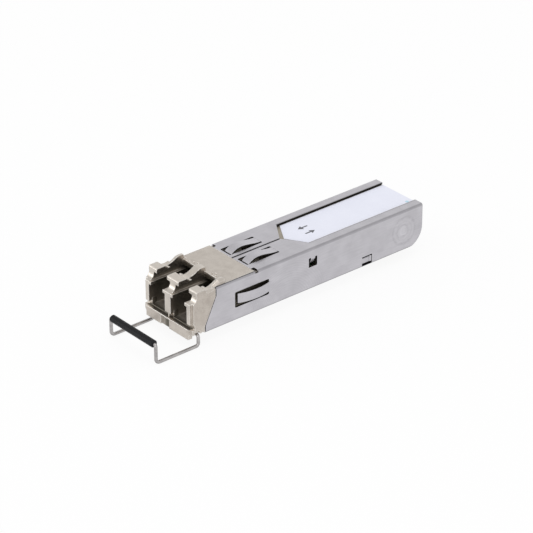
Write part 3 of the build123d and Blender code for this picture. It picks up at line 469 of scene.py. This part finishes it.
# %% Press marks on the sides
BOSS_CENTRE, BOSS_RIM, BOSS_FACE = (-4.7, 4.3), (2.75, 2.9, 0.22), (2.9, 2.2)
DISC_CENTRE, DISC_RIM, DISC_FACE = (-5.1, 4.25), (1.25, 1.35, 0.16), (1.4, 0.7)
SWIRL_CENTRE, SWIRL_BAND = (-33.5, -1.5), (4.5, 8.5, 1.5)
RING_WAVE, RING_REACH = 9.0, (3.0, 2.0)
ARC_WAVE = 13.0
OUTER_SIDE = (6.5, 6.65)
UNBROKEN = (-0.12, 0.1)


def ring_distance(first, second, centre):
    """Distance in millimetres from a centre, in the plane of two of the place's numbers."""
    return ((first - centre[0]) ** 2 + (second - centre[1]) ** 2) ** 0.5


on_side = wide.rise(*OUTER_SIDE)
wander = shell_steel.noise(point, scale=0.9, detail=3.0, roughness=0.6) - 0.5
boss = ring_distance(y, z, BOSS_CENTRE) + wander * 0.9
disc = ring_distance(y, z, DISC_CENTRE) + wander * 0.8
rims = boss.within(*BOSS_RIM) * 0.5 + disc.within(*DISC_RIM) * 0.45
rims = rims * (0.3 + wander.rise(*UNBROKEN) * 0.7)
polish = disc.rise(*DISC_FACE) * 0.42 + boss.rise(*BOSS_FACE) * 0.12
rings = (boss * RING_WAVE).math("SINE") * boss.rise(*RING_REACH) * 0.14
swirl = ring_distance(y, z, SWIRL_CENTRE)
arcs = (swirl * ARC_WAVE).math("SINE") * swirl.within(*SWIRL_BAND) * 0.12
marks = (polish - rims + rings + arcs) * on_side
print("press marks: a boss, a disc and a patch of arcs")

# %% [markdown]
# Now the shell's finish comes together. The marks lighten and darken the tone between two greys of
# the skin, the painted shade of the folds, the edges and the rebate is laid over it, and the cut
# faces come last. The relief has two layers: the fine grain, and over it the shallow press marks.

# %% Skin of the shell
STEEL_DULL, STEEL_BRIGHT = colour(179, 177, 182), colour(217, 215, 220)
STEEL_SHADE, TORN_STEEL_AND_SHADE = colour(112, 110, 115), colour(62, 58, 54)
REBATE_SHADE = colour(50, 47, 44)
TONE_LOW, TONE_HIGH = -0.8, 1.6
shell_tone = (tone + marks * 1.25).math("MINIMUM", TONE_HIGH).math("MAXIMUM", TONE_LOW)
spread = (shell_tone - TONE_LOW) / (TONE_HIGH - TONE_LOW)
skin = shell_steel.mix(spread, STEEL_DULL, STEEL_BRIGHT)
# Painted shade on the folds and edges, darkest in the rebate at the front corner of each flap.
skin = shell_steel.mix(shade, skin, STEEL_SHADE)
skin = shell_steel.mix(rebate * 0.8, skin, REBATE_SHADE)
rounded = shell_steel.soft_edges(SHELL_EDGE)
brushed = shell_steel.bump(relief, distance=0.012, strength=0.5, normal=rounded)
shell_steel.shade(
    # The cut faces take a dark colour: torn metal and painted shade of the gaps beside them.
    Base_Color=shell_steel.mix(cuts, skin, TORN_STEEL_AND_SHADE),
    Roughness=rough + cuts * 0.22,
    Normal=shell_steel.bump(marks * 1.2, distance=0.05, strength=0.5, normal=brushed),
)
finishes["shell"] = shell_steel
print("shell finish has", len(shell_steel.tree.nodes), "nodes")

# %% [markdown]
# The nose is a zinc casting plated with satin nickel, warmer in colour than the steel.
# Its skin has the fine grain of the die and slow ripples. The rear frame is cast and
# plated in the same way, so one function makes the start of both finishes: a skin
# between two colours, how rough it is, and its relief.

# %% Plated castings
def plated_casting(name, dull, bright, gloss, radius):
    finish = Finish(name, Metallic=1.0)
    point, axes = finish.place()
    clouds = finish.noise(point, scale=0.6, detail=3.0, roughness=0.55)
    speckle = finish.noise(point, scale=4.5, detail=2.0, roughness=0.6)
    grain = finish.noise(point, scale=9.0, detail=3.0, roughness=0.6)
    ripple = finish.noise(point, scale=1.6, detail=2.0, roughness=0.5)
    skin = finish.mix((clouds * 0.55 + speckle * 0.45).rise(0.32, 0.68), dull, bright)
    rough = gloss + clouds.swing(0.15) + grain.swing(0.14)
    height = grain * 0.3 + speckle * 0.3 + ripple * 0.4
    relief = finish.bump(height, distance=0.05, strength=0.45, normal=finish.soft_edges(radius))
    return finish, point, axes, skin, rough, relief


NICKEL_DULL, NICKEL_BRIGHT = colour(185, 176, 167), colour(207, 199, 190)
casting, point, (x, y, z), skin, rough, relief = plated_casting(
    "nose_casting", NICKEL_DULL, NICKEL_BRIGHT, 0.34, 0.18
)
print("skin of the nose has", len(casting.tree.nodes), "nodes")

# %% [markdown]
# Painted light brightens the nose's front faces, its tops, most of all over the ears, the low part
# of its sides, and every sharp edge, where it is a painted highlight. Those places are found by
# direction and height, and the edges by where the rounded direction leaves the flat one.

# %% Painted light on the nose
HIGHLIGHT_RADIUS = 0.26
FORWARDS, UPWARDS, SIDEWAYS = (-0.5, -0.9), (0.5, 0.9), (0.7, 0.9)
EARS = (-47.6, -48.6)
OVER_LIP = (1.6, 1.8)
LOW_SIDE = (4.0, 0.0)
facing_x, facing_y, facing_z = casting.facing()
highlight_edges = casting.edge_mask(casting.soft_edges(HIGHLIGHT_RADIUS))
painted_light = facing_y.rise(*FORWARDS) + facing_z.rise(*UPWARDS) * (0.35 + y.rise(*EARS) * 0.5)
painted_light = painted_light * (0.35 + z.rise(*OVER_LIP) * 0.65)
painted_light = painted_light + abs(facing_x).rise(*SIDEWAYS) * z.rise(*LOW_SIDE) * 0.6
print("rubbed places found")

# %% [markdown]
# Inside the ports the metal is duller, and painted shade turns it dark olive from just behind the
# front edge of each wall, thinner on the rails in the ports. The same painted shade lies on the
# casting under the shell's flaps, in the gap beside it, and in the small recess of the lip.

# %% Places of painted shade on the nose
PORT_PITCH_HALF = 3.125
PORT_ACROSS, PORT_FRONT = (2.38, 2.3), (-55.9, -54.7)
PORT_FLOOR, PORT_ROOF = (1.75, 1.8), (8.3, 7.9)
FLOOR_ACROSS, FLOOR_UP, FLOOR_FRONT = (6.3, 6.2), (1.55, 1.78, 0.02), (-56.1, -55.95)
RAIL_ACROSS, RAIL_UP, RAIL_LENGTH = (1.7, 2.4, 0.05), (6.72, 6.8, 0.04), (-47.5, -50.0)
SHELL_FRONT, UNDER_FLAPS, DEEP_UNDER = (-41.3, -41.2), (8.2, 8.1), (-39.8, -38.0)
GAP_OUTSIDE, GAP_INSIDE, GAP_FRONT = (6.42, 6.4), (6.0, 6.05), (-50.2, -50.1)
RECESS_CENTRE, RECESS_ACROSS, RECESS_UP = -0.6, (1.25, 1.15), (1.42, 1.36)
RECESS_DEPTH = (-56.25, -56.05, 0.08)
across = (abs(x) - PORT_PITCH_HALF).math("ABSOLUTE")
in_port = across.rise(*PORT_ACROSS) * z.rise(*PORT_FLOOR) * z.rise(*PORT_ROOF)
in_port = in_port * y.rise(*PORT_FRONT)
on_floor = abs(x).rise(*FLOOR_ACROSS) * z.within(*FLOOR_UP) * y.rise(*FLOOR_FRONT)
on_rail = across.within(*RAIL_ACROSS) * z.within(*RAIL_UP) * y.rise(*RAIL_LENGTH)
under_shell = y.rise(*SHELL_FRONT) * z.rise(*UNDER_FLAPS) * (0.72 + y.rise(*DEEP_UNDER) * 0.28)
beside_shell = abs(x).rise(*GAP_OUTSIDE) * abs(x).rise(*GAP_INSIDE)
beside_shell = beside_shell * y.rise(*GAP_FRONT) * z.rise(*UNDER_FLAPS)
in_recess = abs(x - RECESS_CENTRE).rise(*RECESS_ACROSS) * z.rise(*RECESS_UP)
in_recess = in_recess * y.within(*RECESS_DEPTH)
dark = in_port.math("MAXIMUM", on_floor).math("MAXIMUM", under_shell).math("MAXIMUM", beside_shell)
print("dark places found")

# %% [markdown]
# The painted shade is the share of dark olive over the skin. It is even on the walls, thinner on
# the rails, and thinner on the floor further in, where lighter specks of painted glint break it.
# The painted light and the painted highlight of the edges lighten the skin first, but no painted
# highlight lies in the shade.

# %% Skin of the nose
NICKEL_LIT, NICKEL_HIGHLIGHT = colour(230, 223, 214), colour(248, 245, 240)
OLIVE_SHADE = colour(70, 66, 52)
GLINT_NOISE, RECESS_SHADOW = (0.58, 0.7), (-1.3, -0.3)
LOW_INSIDE, PAST_FRONT = (2.0, 1.8), (-55.3, -54.4)
glint_specks = casting.noise(point, scale=2.6, detail=3.0, roughness=0.6).rise(*GLINT_NOISE)
inside = z.rise(*LOW_INSIDE) * y.rise(*PAST_FRONT)
# Painted shade in the ports, under the flaps, beside the shell and in the lip's recess, with
# painted glints on the floor further in.
nose_shade = dark * (0.82 - on_floor * 0.06) * (1 - on_rail * 0.7) * (1 - inside * (0.6 + glint_specks * 0.3))
nose_shade = nose_shade + in_recess * (0.35 + x.rise(*RECESS_SHADOW) * 0.5)
# Painted light on the front faces, the tops and the low sides, then a painted highlight along the
# edges, none in the painted shade.
skin = casting.mix(painted_light * 0.62, skin, NICKEL_LIT)
skin = casting.mix(highlight_edges * (1 - dark) * 0.75, skin, NICKEL_HIGHLIGHT)
casting.shade(
    Base_Color=casting.mix(nose_shade, skin, OLIVE_SHADE),
    Roughness=rough + dark * 0.16 - highlight_edges * 0.08,
    Normal=relief,
)
finishes["nose_housing"] = casting
print("nose finish has", len(casting.tree.nodes), "nodes")

# %% [markdown]
# Where the plate meets the openings above the ports, the die has left a little flash,
# tumbled to small bright crumbs. Each is a lump of a few tenths of a millimetre, a ball
# pushed in and out by noise, flattened, and sunk to its middle in the plate. They are
# one piece in the casting's own finish.

# %% Flash on the plate
PLATE_TOP = 8.5 * MM
FLASH_HEIGHT = 0.24 * MM
FLASH_DEPTH = 0.7
FLASH_ROUGHNESS = 0.35
FLASH_GRAIN = 1.7
flash_places = [
    # place across and along, and reach, in millimetres
    (-5.2, -47.8, 0.2), (-3.95, -47.95, 0.2), (-3.1, -47.5, 0.17), (-2.3, -47.2, 0.19),
    (-1.6, -47.6, 0.14), (2.2, -47.6, 0.15), (2.9, -47.3, 0.18), (3.5, -47.75, 0.2),
    (4.4, -47.4, 0.22), (5.0, -47.8, 0.17), (5.6, -47.6, 0.2),
]
work = bmesh.new()
for place_x, place_y, reach in flash_places:
    centre = Vector((place_x, place_y, 0)) * MM
    centre.z = PLATE_TOP
    lump = bmesh.ops.create_icosphere(work, subdivisions=3, radius=1.0)["verts"]
    for vert in lump:
        push = 1 + FLASH_ROUGHNESS * noise.noise(vert.co * FLASH_GRAIN + centre / MM)
        shape = vert.co * push
        shape.x *= reach * MM
        shape.y *= reach * MM * FLASH_DEPTH
        shape.z *= FLASH_HEIGHT
        vert.co = centre + shape
flash_mesh = bpy.data.meshes.new("nose_flash")
work.to_mesh(flash_mesh)
work.free()
for polygon in flash_mesh.polygons:
    polygon.use_smooth = True
flash = bpy.data.objects.new("nose_flash", flash_mesh)
bpy.context.scene.collection.objects.link(flash)
flash.data.materials.append(casting.material)
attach(flash, "module")
print("flash has", len(flash_places), "lumps")

# %% [markdown]
# The rear frame is a casting of the same kind, with duller, browner plating. Its strip round the
# label is bare and pale, but painted shade darkens the narrow gap beside the label and the roof
# under the shell's flaps.

# %% Rear frame casting
PLATING_DULL, PLATING_BRIGHT = colour(166, 158, 144), colour(194, 186, 172)
FRAME_SHADE = colour(58, 50, 38)
SHADE_BESIDE, SHADE_BESIDE_LENGTH = (4.36, 4.42), (-26.4, -26.1)
SHADE_UNDER_FLAPS, SHADE_UP = (-30.0, -30.2), (7.6, 7.8)
frame_casting, point, (x, y, z), skin, rough, relief = plated_casting(
    "frame_casting", PLATING_DULL, PLATING_BRIGHT, 0.45, 0.08
)
beside_label = abs(x).rise(*SHADE_BESIDE) * y.rise(*SHADE_BESIDE_LENGTH)
frame_shade = beside_label.math("MAXIMUM", y.rise(*SHADE_UNDER_FLAPS)) * z.rise(*SHADE_UP)
frame_casting.shade(
    # Painted shade in the gap beside the label and under the shell's flaps.
    Base_Color=frame_casting.mix(frame_shade * 0.85, skin, FRAME_SHADE),
    Roughness=rough + frame_shade * 0.15,
    Normal=relief,
)
finishes["rear_frame"] = frame_casting
print("frame finish has", len(frame_casting.tree.nodes), "nodes")

# %% [markdown]
# The bail is one piece of drawn spring wire. The packed model rounds its bends in a few
# straight runs, which is enough to collide with but not to look at, so a smooth tube
# takes its place. It follows the same corners, and each corner is rounded with a true
# arc. The two bends of each leg that lie nearest to the hinge are a little tighter than
# the third, because a wider arc would graze the nose's notches when the bail is shut.

# %% Bail wire path
WIRE_RADIUS = 0.33 * MM
HINGE_Y = -54.45 * MM
HINGE_Z = 0.15 * MM
CRANK_OFFSET = 0.3 * MM
CRANK_HALF = 2.2 * MM
CRANK_STEP = 0.5 * MM
LEG_X = 6.5 * MM
LEG_Z = HINGE_Z - 2.15 * MM
GRIP_Y = HINGE_Y - 9.65 * MM
GRIP_Z = HINGE_Z + 1.55 * MM
CRANK_BEND, HINGE_BEND, LEG_BEND, GRIP_BEND = 0.4 * MM, 0.6 * MM, 0.8 * MM, 0.45 * MM
BEND_STEPS = 8


def rounded_path(corners, radii, steps):
    """Points along an open path whose inner corners are arcs of the given radii."""
    path = [Vector(corners[0])]
    for before, corner, after, radius in zip(corners, corners[1:], corners[2:], radii):
        corner = Vector(corner)
        incoming = (Vector(before) - corner).normalized()
        outgoing = (Vector(after) - corner).normalized()
        turn = pi - incoming.angle(outgoing)
        outward = -(incoming + outgoing).normalized()
        along = (outgoing - incoming).normalized()
        centre = corner - outward * radius / cos(turn / 2)
        for step in range(steps + 1):
            angle = turn * (step / steps - 0.5)
            path.append(centre + (outward * cos(angle) + along * sin(angle)) * radius)
    path.append(Vector(corners[-1]))
    return path


half_corners = [
    (0, HINGE_Y - CRANK_OFFSET, HINGE_Z),
    (CRANK_HALF, HINGE_Y - CRANK_OFFSET, HINGE_Z),
    (CRANK_HALF + CRANK_STEP, HINGE_Y, HINGE_Z),
    (LEG_X, HINGE_Y, HINGE_Z),
    (LEG_X, HINGE_Y, LEG_Z),
    (LEG_X, GRIP_Y, LEG_Z),
    (LEG_X, GRIP_Y, GRIP_Z),
    (0, GRIP_Y, GRIP_Z),
]
half_radii = [CRANK_BEND, CRANK_BEND, HINGE_BEND, HINGE_BEND, LEG_BEND, GRIP_BEND]
half_path = rounded_path(half_corners, half_radii, BEND_STEPS)
mirrored = [Vector((-p.x, p.y, p.z)) for p in reversed(half_path)]
bail_path = half_path + mirrored[1:-1]
print("bail path has", len(bail_path), "points")

# %% [markdown]
# A ring of points is carried along the path to make the skin of the tube. A curve with
# a round bevel would do the same, but could twist where the path comes back to its
# start; here each ring is turned as little as possible from the last, and the closing
# faces join the points that lie nearest to each other.

# %% Bail wire tube
WIRE_SIDES = 20


def closed_tube(name, path, radius, sides):
    """A round tube along a path that ends where it starts."""
    count = len(path)
    work = bmesh.new()
    rings = []
    side = None
    for index, point in enumerate(path):
        heading = (path[(index + 1) % count] - path[(index - 1) % count]).normalized()
        if side is None:
            side = heading.orthogonal().normalized()
        side = (side - heading * side.dot(heading)).normalized()
        other = heading.cross(side)
        ring = []
        for number in range(sides):
            angle = 2 * pi * number / sides
            ring.append(work.verts.new(point + (side * cos(angle) + other * sin(angle)) * radius))
        rings.append(ring)
    start = min(range(sides), key=lambda n: (rings[-1][0].co - rings[0][n].co).length)
    rings.append(rings[0][start:] + rings[0][:start])
    for first, second in zip(rings, rings[1:]):
        for number in range(sides):
            after = (number + 1) % sides
            work.faces.new((first[number], first[after], second[after], second[number]))
    bmesh.ops.recalc_face_normals(work, faces=work.faces)
    mesh = bpy.data.meshes.new(name)
    work.to_mesh(mesh)
    work.free()
    for polygon in mesh.polygons:
        polygon.use_smooth = True
    piece = bpy.data.objects.new(name, mesh)
    bpy.context.scene.collection.objects.link(piece)
    return piece


bail = closed_tube("bail_tube", bail_path, WIRE_RADIUS, WIRE_SIDES)
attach(bail, "bail")
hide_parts("bail_wire")
print("bail tube has", len(bail.data.polygons), "faces")

# %% [markdown]
# Drawn wire is brighter than the shell. The die has left it smooth, with small scuffs where the
# bends were made and where it rubs on the nose. Its underside faces the floor and its own shadow,
# and painted shade makes it a good deal darker.

# %% Bail steel
WIRE_DULL, WIRE_BRIGHT = colour(166, 163, 163), colour(190, 187, 186)
WIRE_UNDER_SHADE = colour(92, 89, 88)
WIRE_GLOSS = 0.24
UNDERSIDE = (0.1, -0.8)
wire_steel = Finish("bail_steel", Metallic=1.0)
point, _ = wire_steel.place()
scuffed = wire_steel.stretch(point, (1.0, 0.5, 1.0))
scuffs = wire_steel.noise(scuffed, scale=1.3, detail=3.0, roughness=0.5)
lengthened = wire_steel.stretch(point, (8.0, 1.2, 8.0))
draw_lines = wire_steel.noise(lengthened, scale=1.0, detail=3.0, roughness=0.6)
towards = wire_steel.split(wire_steel.add("ShaderNodeTexCoord", {}, {}, "Normal"))
under = towards[2].rise(*UNDERSIDE)
drawn = wire_steel.mix(scuffs.rise(0.3, 0.7), WIRE_DULL, WIRE_BRIGHT)
wire_steel.shade(
    # Painted shade on the underside.
    Base_Color=wire_steel.mix(under * 0.55, drawn, WIRE_UNDER_SHADE),
    Roughness=WIRE_GLOSS + scuffs.swing(0.12),
    Normal=wire_steel.bump(draw_lines * 0.6 + scuffs * 0.4, distance=0.012, strength=0.3),
)
finishes["bail_wire"] = wire_steel
bail.data.materials.append(wire_steel.material)
print("bail finish has", len(wire_steel.tree.nodes), "nodes")

# %% [markdown]
# The grip is a length of soft black tube, slightly blue-black and satin. It picks up a
# broad soft highlight, with a fine pebble in it, and its cut ends are a little greyer.

# %% Sleeve rubber
RUBBER_DEEP, RUBBER_PALE = colour(13, 14, 17), colour(26, 27, 31)
SLEEVE_END = (5.9, 6.1)
rubber = Finish("sleeve_rubber", Metallic=0.0, Specular_IOR_Level=0.22)
point, (x, _, _) = rubber.place()
pebble = rubber.noise(point, scale=7.0, detail=3.0, roughness=0.6)
smudge = rubber.noise(point, scale=0.8, detail=2.0, roughness=0.5)
ends = abs(x).rise(*SLEEVE_END)
rubber.shade(
    Base_Color=rubber.mix(smudge * 0.5 + ends * 0.4, RUBBER_DEEP, RUBBER_PALE),
    Roughness=0.42 + pebble * 0.16,
    Normal=rubber.bump(pebble, distance=0.02, strength=0.35),
)
finishes["bail_sleeve"] = rubber
print("sleeve finish has", len(rubber.tree.nodes), "nodes")

# %% [markdown]
# The label is printed film, a cold white with a hint of lavender. Its print is a plain
# pair of arrows that says which port sends and which receives. They could be cut from a
# thin mesh, but ink lies flat, so they are drawn as distances in the label's plane.

# %% Arrows in ink
ARROW_LENGTH, ARROW_WIDTH, ARROW_STEM, INK_EDGE = 2.3, 1.3, 0.36, 0.02
SENDING_TIP, RECEIVING_TIP = (-1.1, -24.4), (1.1, -22.1)
LABEL_TOP = (8.1, 8.14)


def arrow(first, second, tip, turn):
    """Ink of an arrow whose shaft runs back from the tip, towards +Y where the turn is 1."""
    behind_tip = (second - tip[1]) * turn
    sideways = abs(first - tip[0])
    taper = ARROW_WIDTH / (ARROW_LENGTH * 0.9)
    head = (behind_tip * taper - sideways).rise(-INK_EDGE, INK_EDGE)
    head = behind_tip.within(0, ARROW_LENGTH * 0.45, 0.03) * head
    stem = sideways.rise(ARROW_STEM / 2 + INK_EDGE, ARROW_STEM / 2 - INK_EDGE)
    shaft = behind_tip.within(ARROW_LENGTH * 0.4, ARROW_LENGTH, 0.03) * stem
    return head.math("MAXIMUM", shaft)


film = Finish("label_film", Metallic=0.0, Specular_IOR_Level=0.4)
point, (x, y, z) = film.place()
sending = arrow(x, y, SENDING_TIP, 1)
receiving = arrow(x, y, RECEIVING_TIP, -1)
ink = sending.math("MAXIMUM", receiving) * z.rise(*LABEL_TOP)
print("arrows use", len(film.tree.nodes), "nodes")

# %% [markdown]
# Under the ink the film is nearly even. Its near edge is yellowed by glue, painted shadow lies
# along the far one, under the burr of the shell's window, and near the rear corner is a small
# pale-blue fleck.

# %% Label film
LABEL_COLD, LABEL_WHITE = colour(233, 235, 248), colour(240, 242, 254)
GLUE, FAR_EDGE_SHADE = colour(190, 180, 164), colour(92, 84, 74)
PALE_BLUE, INK = colour(176, 220, 236), colour(44, 45, 50)
NEAR_EDGE, FAR_EDGE = (4.0, 4.1), (-4.28, -4.34)
FLECK_CENTRE, FLECK_EDGE = (3.75, -1.3), (0.42, 0.3)
fibre = film.noise(point, scale=5.0, detail=3.0, roughness=0.55)
tint = film.noise(point, scale=0.25, detail=2.0, roughness=0.5)
fleck = ring_distance(x, y, FLECK_CENTRE).rise(*FLECK_EDGE)
film_tone = film.mix(tint, LABEL_COLD, LABEL_WHITE)
film_tone = film.mix(x.rise(*NEAR_EDGE) * 0.35, film_tone, GLUE)
# Painted shadow along the far edge, under the window's burr.
film_tone = film.mix(x.rise(*FAR_EDGE) * 0.8, film_tone, FAR_EDGE_SHADE)
film_tone = film.mix(fleck * 0.8, film_tone, PALE_BLUE)
film.shade(
    Base_Color=film.mix(ink * 0.9, film_tone, INK),
    Roughness=0.42 + fibre.swing(0.12),
    Normal=film.bump(fibre, distance=0.006, strength=0.3),
)
finishes["label"] = film
print("label finish has", len(film.tree.nodes), "nodes")

# %% [markdown]
# The parts seen through the ports and under the open rear have their own finishes:
# turned barrels, white ceramic sleeves, gold-plated cans, amber flexible circuits, the
# green board with its gold contacts, and black moulded chips. They differ only in their
# numbers, so a table lists those and one function makes each finish from its row.

# %% Finishes of the inner parts
EVEN = (1, 1, 1)
INNER_PARTS = [
    # finish, the nodes that have it, dull and bright colour, metallic, gloss,
    # scale of the noise, height of the relief, stretch of the noise
    ("latch_steel", ["latch_lever"],
     (176, 172, 166), (200, 196, 190), 1.0, 0.34, 1.5, 0.02, (6, 1, 6)),
    ("pin_steel", ["latch_pin"],
     (190, 188, 186), (210, 208, 206), 1.0, 0.22, 2.0, 0.01, (1, 6, 6)),
    ("spring_steel", ["latch_spring"],
     (120, 124, 140), (160, 160, 166), 1.0, 0.3, 1.5, 0.01, EVEN),
    ("moulded_tray", ["board_support"],
     (30, 30, 32), (46, 46, 48), 0.0, 0.5, 1.2, 0.03, EVEN),
    ("contact_gold", ["edge_contacts_top", "edge_contacts_bottom"],
     (214, 170, 92), (236, 196, 120), 1.0, 0.25, 2.0, 0.01, EVEN),
    ("barrel_steel", ["transmitter_barrel", "receiver_barrel"],
     (168, 166, 160), (200, 198, 192), 1.0, 0.28, 1.2, 0.015, (6, 0.5, 6)),
    ("split_sleeve_ceramic", ["transmitter_sleeve", "receiver_sleeve"],
     (232, 230, 222), (244, 243, 238), 0.0, 0.16, 1.0, 0.004, EVEN),
    ("can_metal", ["transmitter_can", "receiver_can"],
     (200, 166, 98), (224, 192, 126), 1.0, 0.26, 1.4, 0.01, EVEN),
    ("flex_film", ["transmitter_flex", "receiver_flex"],
     (150, 92, 30), (188, 124, 50), 0.0, 0.35, 1.0, 0.02, EVEN),
    ("clamp_steel", ["barrel_clamp"],
     (160, 158, 156), (190, 188, 186), 1.0, 0.36, 1.6, 0.02, EVEN),
    ("chip_epoxy", ["laser_driver", "receiver_amplifier", "controller", "memory_chip"],
     (34, 34, 36), (50, 50, 52), 0.0, 0.55, 2.5, 0.02, EVEN),
    ("component_ceramic", ["small_components"],
     (150, 118, 84), (176, 142, 104), 0.0, 0.45, 2.0, 0.02, EVEN),
]
INNER_EDGE = 0.05
FINER = 6


def plain_finish(name, dull, bright, metallic, gloss, scale, relief, stretched):
    finish = Finish(name, Metallic=metallic)
    point, _ = finish.place()
    cloud = finish.noise(finish.stretch(point, stretched), scale=scale, detail=3.0, roughness=0.55)
    fine = finish.noise(point, scale=scale * FINER, detail=2.0, roughness=0.5)
    height = fine * 0.5 + cloud * 0.5
    rounded = finish.soft_edges(INNER_EDGE)
    finish.shade(
        Base_Color=finish.mix(cloud.rise(0.3, 0.7), colour(*dull), colour(*bright)),
        Roughness=gloss + cloud.swing(0.12) + fine.swing(0.08),
        Normal=finish.bump(height, distance=relief, strength=0.4, normal=rounded),
    )
    return finish


for name, members, *numbers in INNER_PARTS:
    inner = plain_finish(name, *numbers)
    for member in members:
        finishes[member] = inner
print("inner finishes:", len(INNER_PARTS))

# %% [markdown]
# The board is green solder mask over copper. The tracks show through as slightly
# raised, paler lines, so a grid of thin stripes is drawn along the length, broken up
# into runs by a coarse noise.

# %% Board laminate
MASK_GREEN, TRACK_GREEN = colour(22, 92, 48), colour(58, 130, 72)
STRIPE_WAVE, STRIPE_BEND = 9.0, 6.0
STRIPE_EDGE, RUN_EDGE = (0.35, 0.6), (0.42, 0.5)
laminate = Finish("board_laminate", Metallic=0.0, Specular_IOR_Level=0.5)
point, (x, _, _) = laminate.place()
flattened = laminate.stretch(point, (0.9, 0.25, 0.0))
blocks = laminate.noise(flattened, scale=1.0, detail=1.0, roughness=0.4)
stripes = (x * STRIPE_WAVE + blocks * STRIPE_BEND).math("SINE").rise(*STRIPE_EDGE)
runs = blocks.rise(*RUN_EDGE) * stripes
laminate.shade(
    Base_Color=laminate.mix(runs, MASK_GREEN, TRACK_GREEN),
    Roughness=0.3 + blocks * 0.1,
    Normal=laminate.bump(runs, distance=0.03, strength=0.5),
)
finishes["circuit_board"] = laminate
print("board finish has", len(laminate.tree.nodes), "nodes")

# %% [markdown]
# Each node of the packed model now gets its finish. Its mesh and its place are left
# alone: only the material slots change.

# %% Give every node its finish
for name, node in nodes.items():
    node.data.materials.clear()
    node.data.materials.append(finishes[name].material)
print("nodes with a finish:", len(finishes), "of", len(nodes))

# %% View settings
bpy.context.scene.view_settings.view_transform = "Standard"
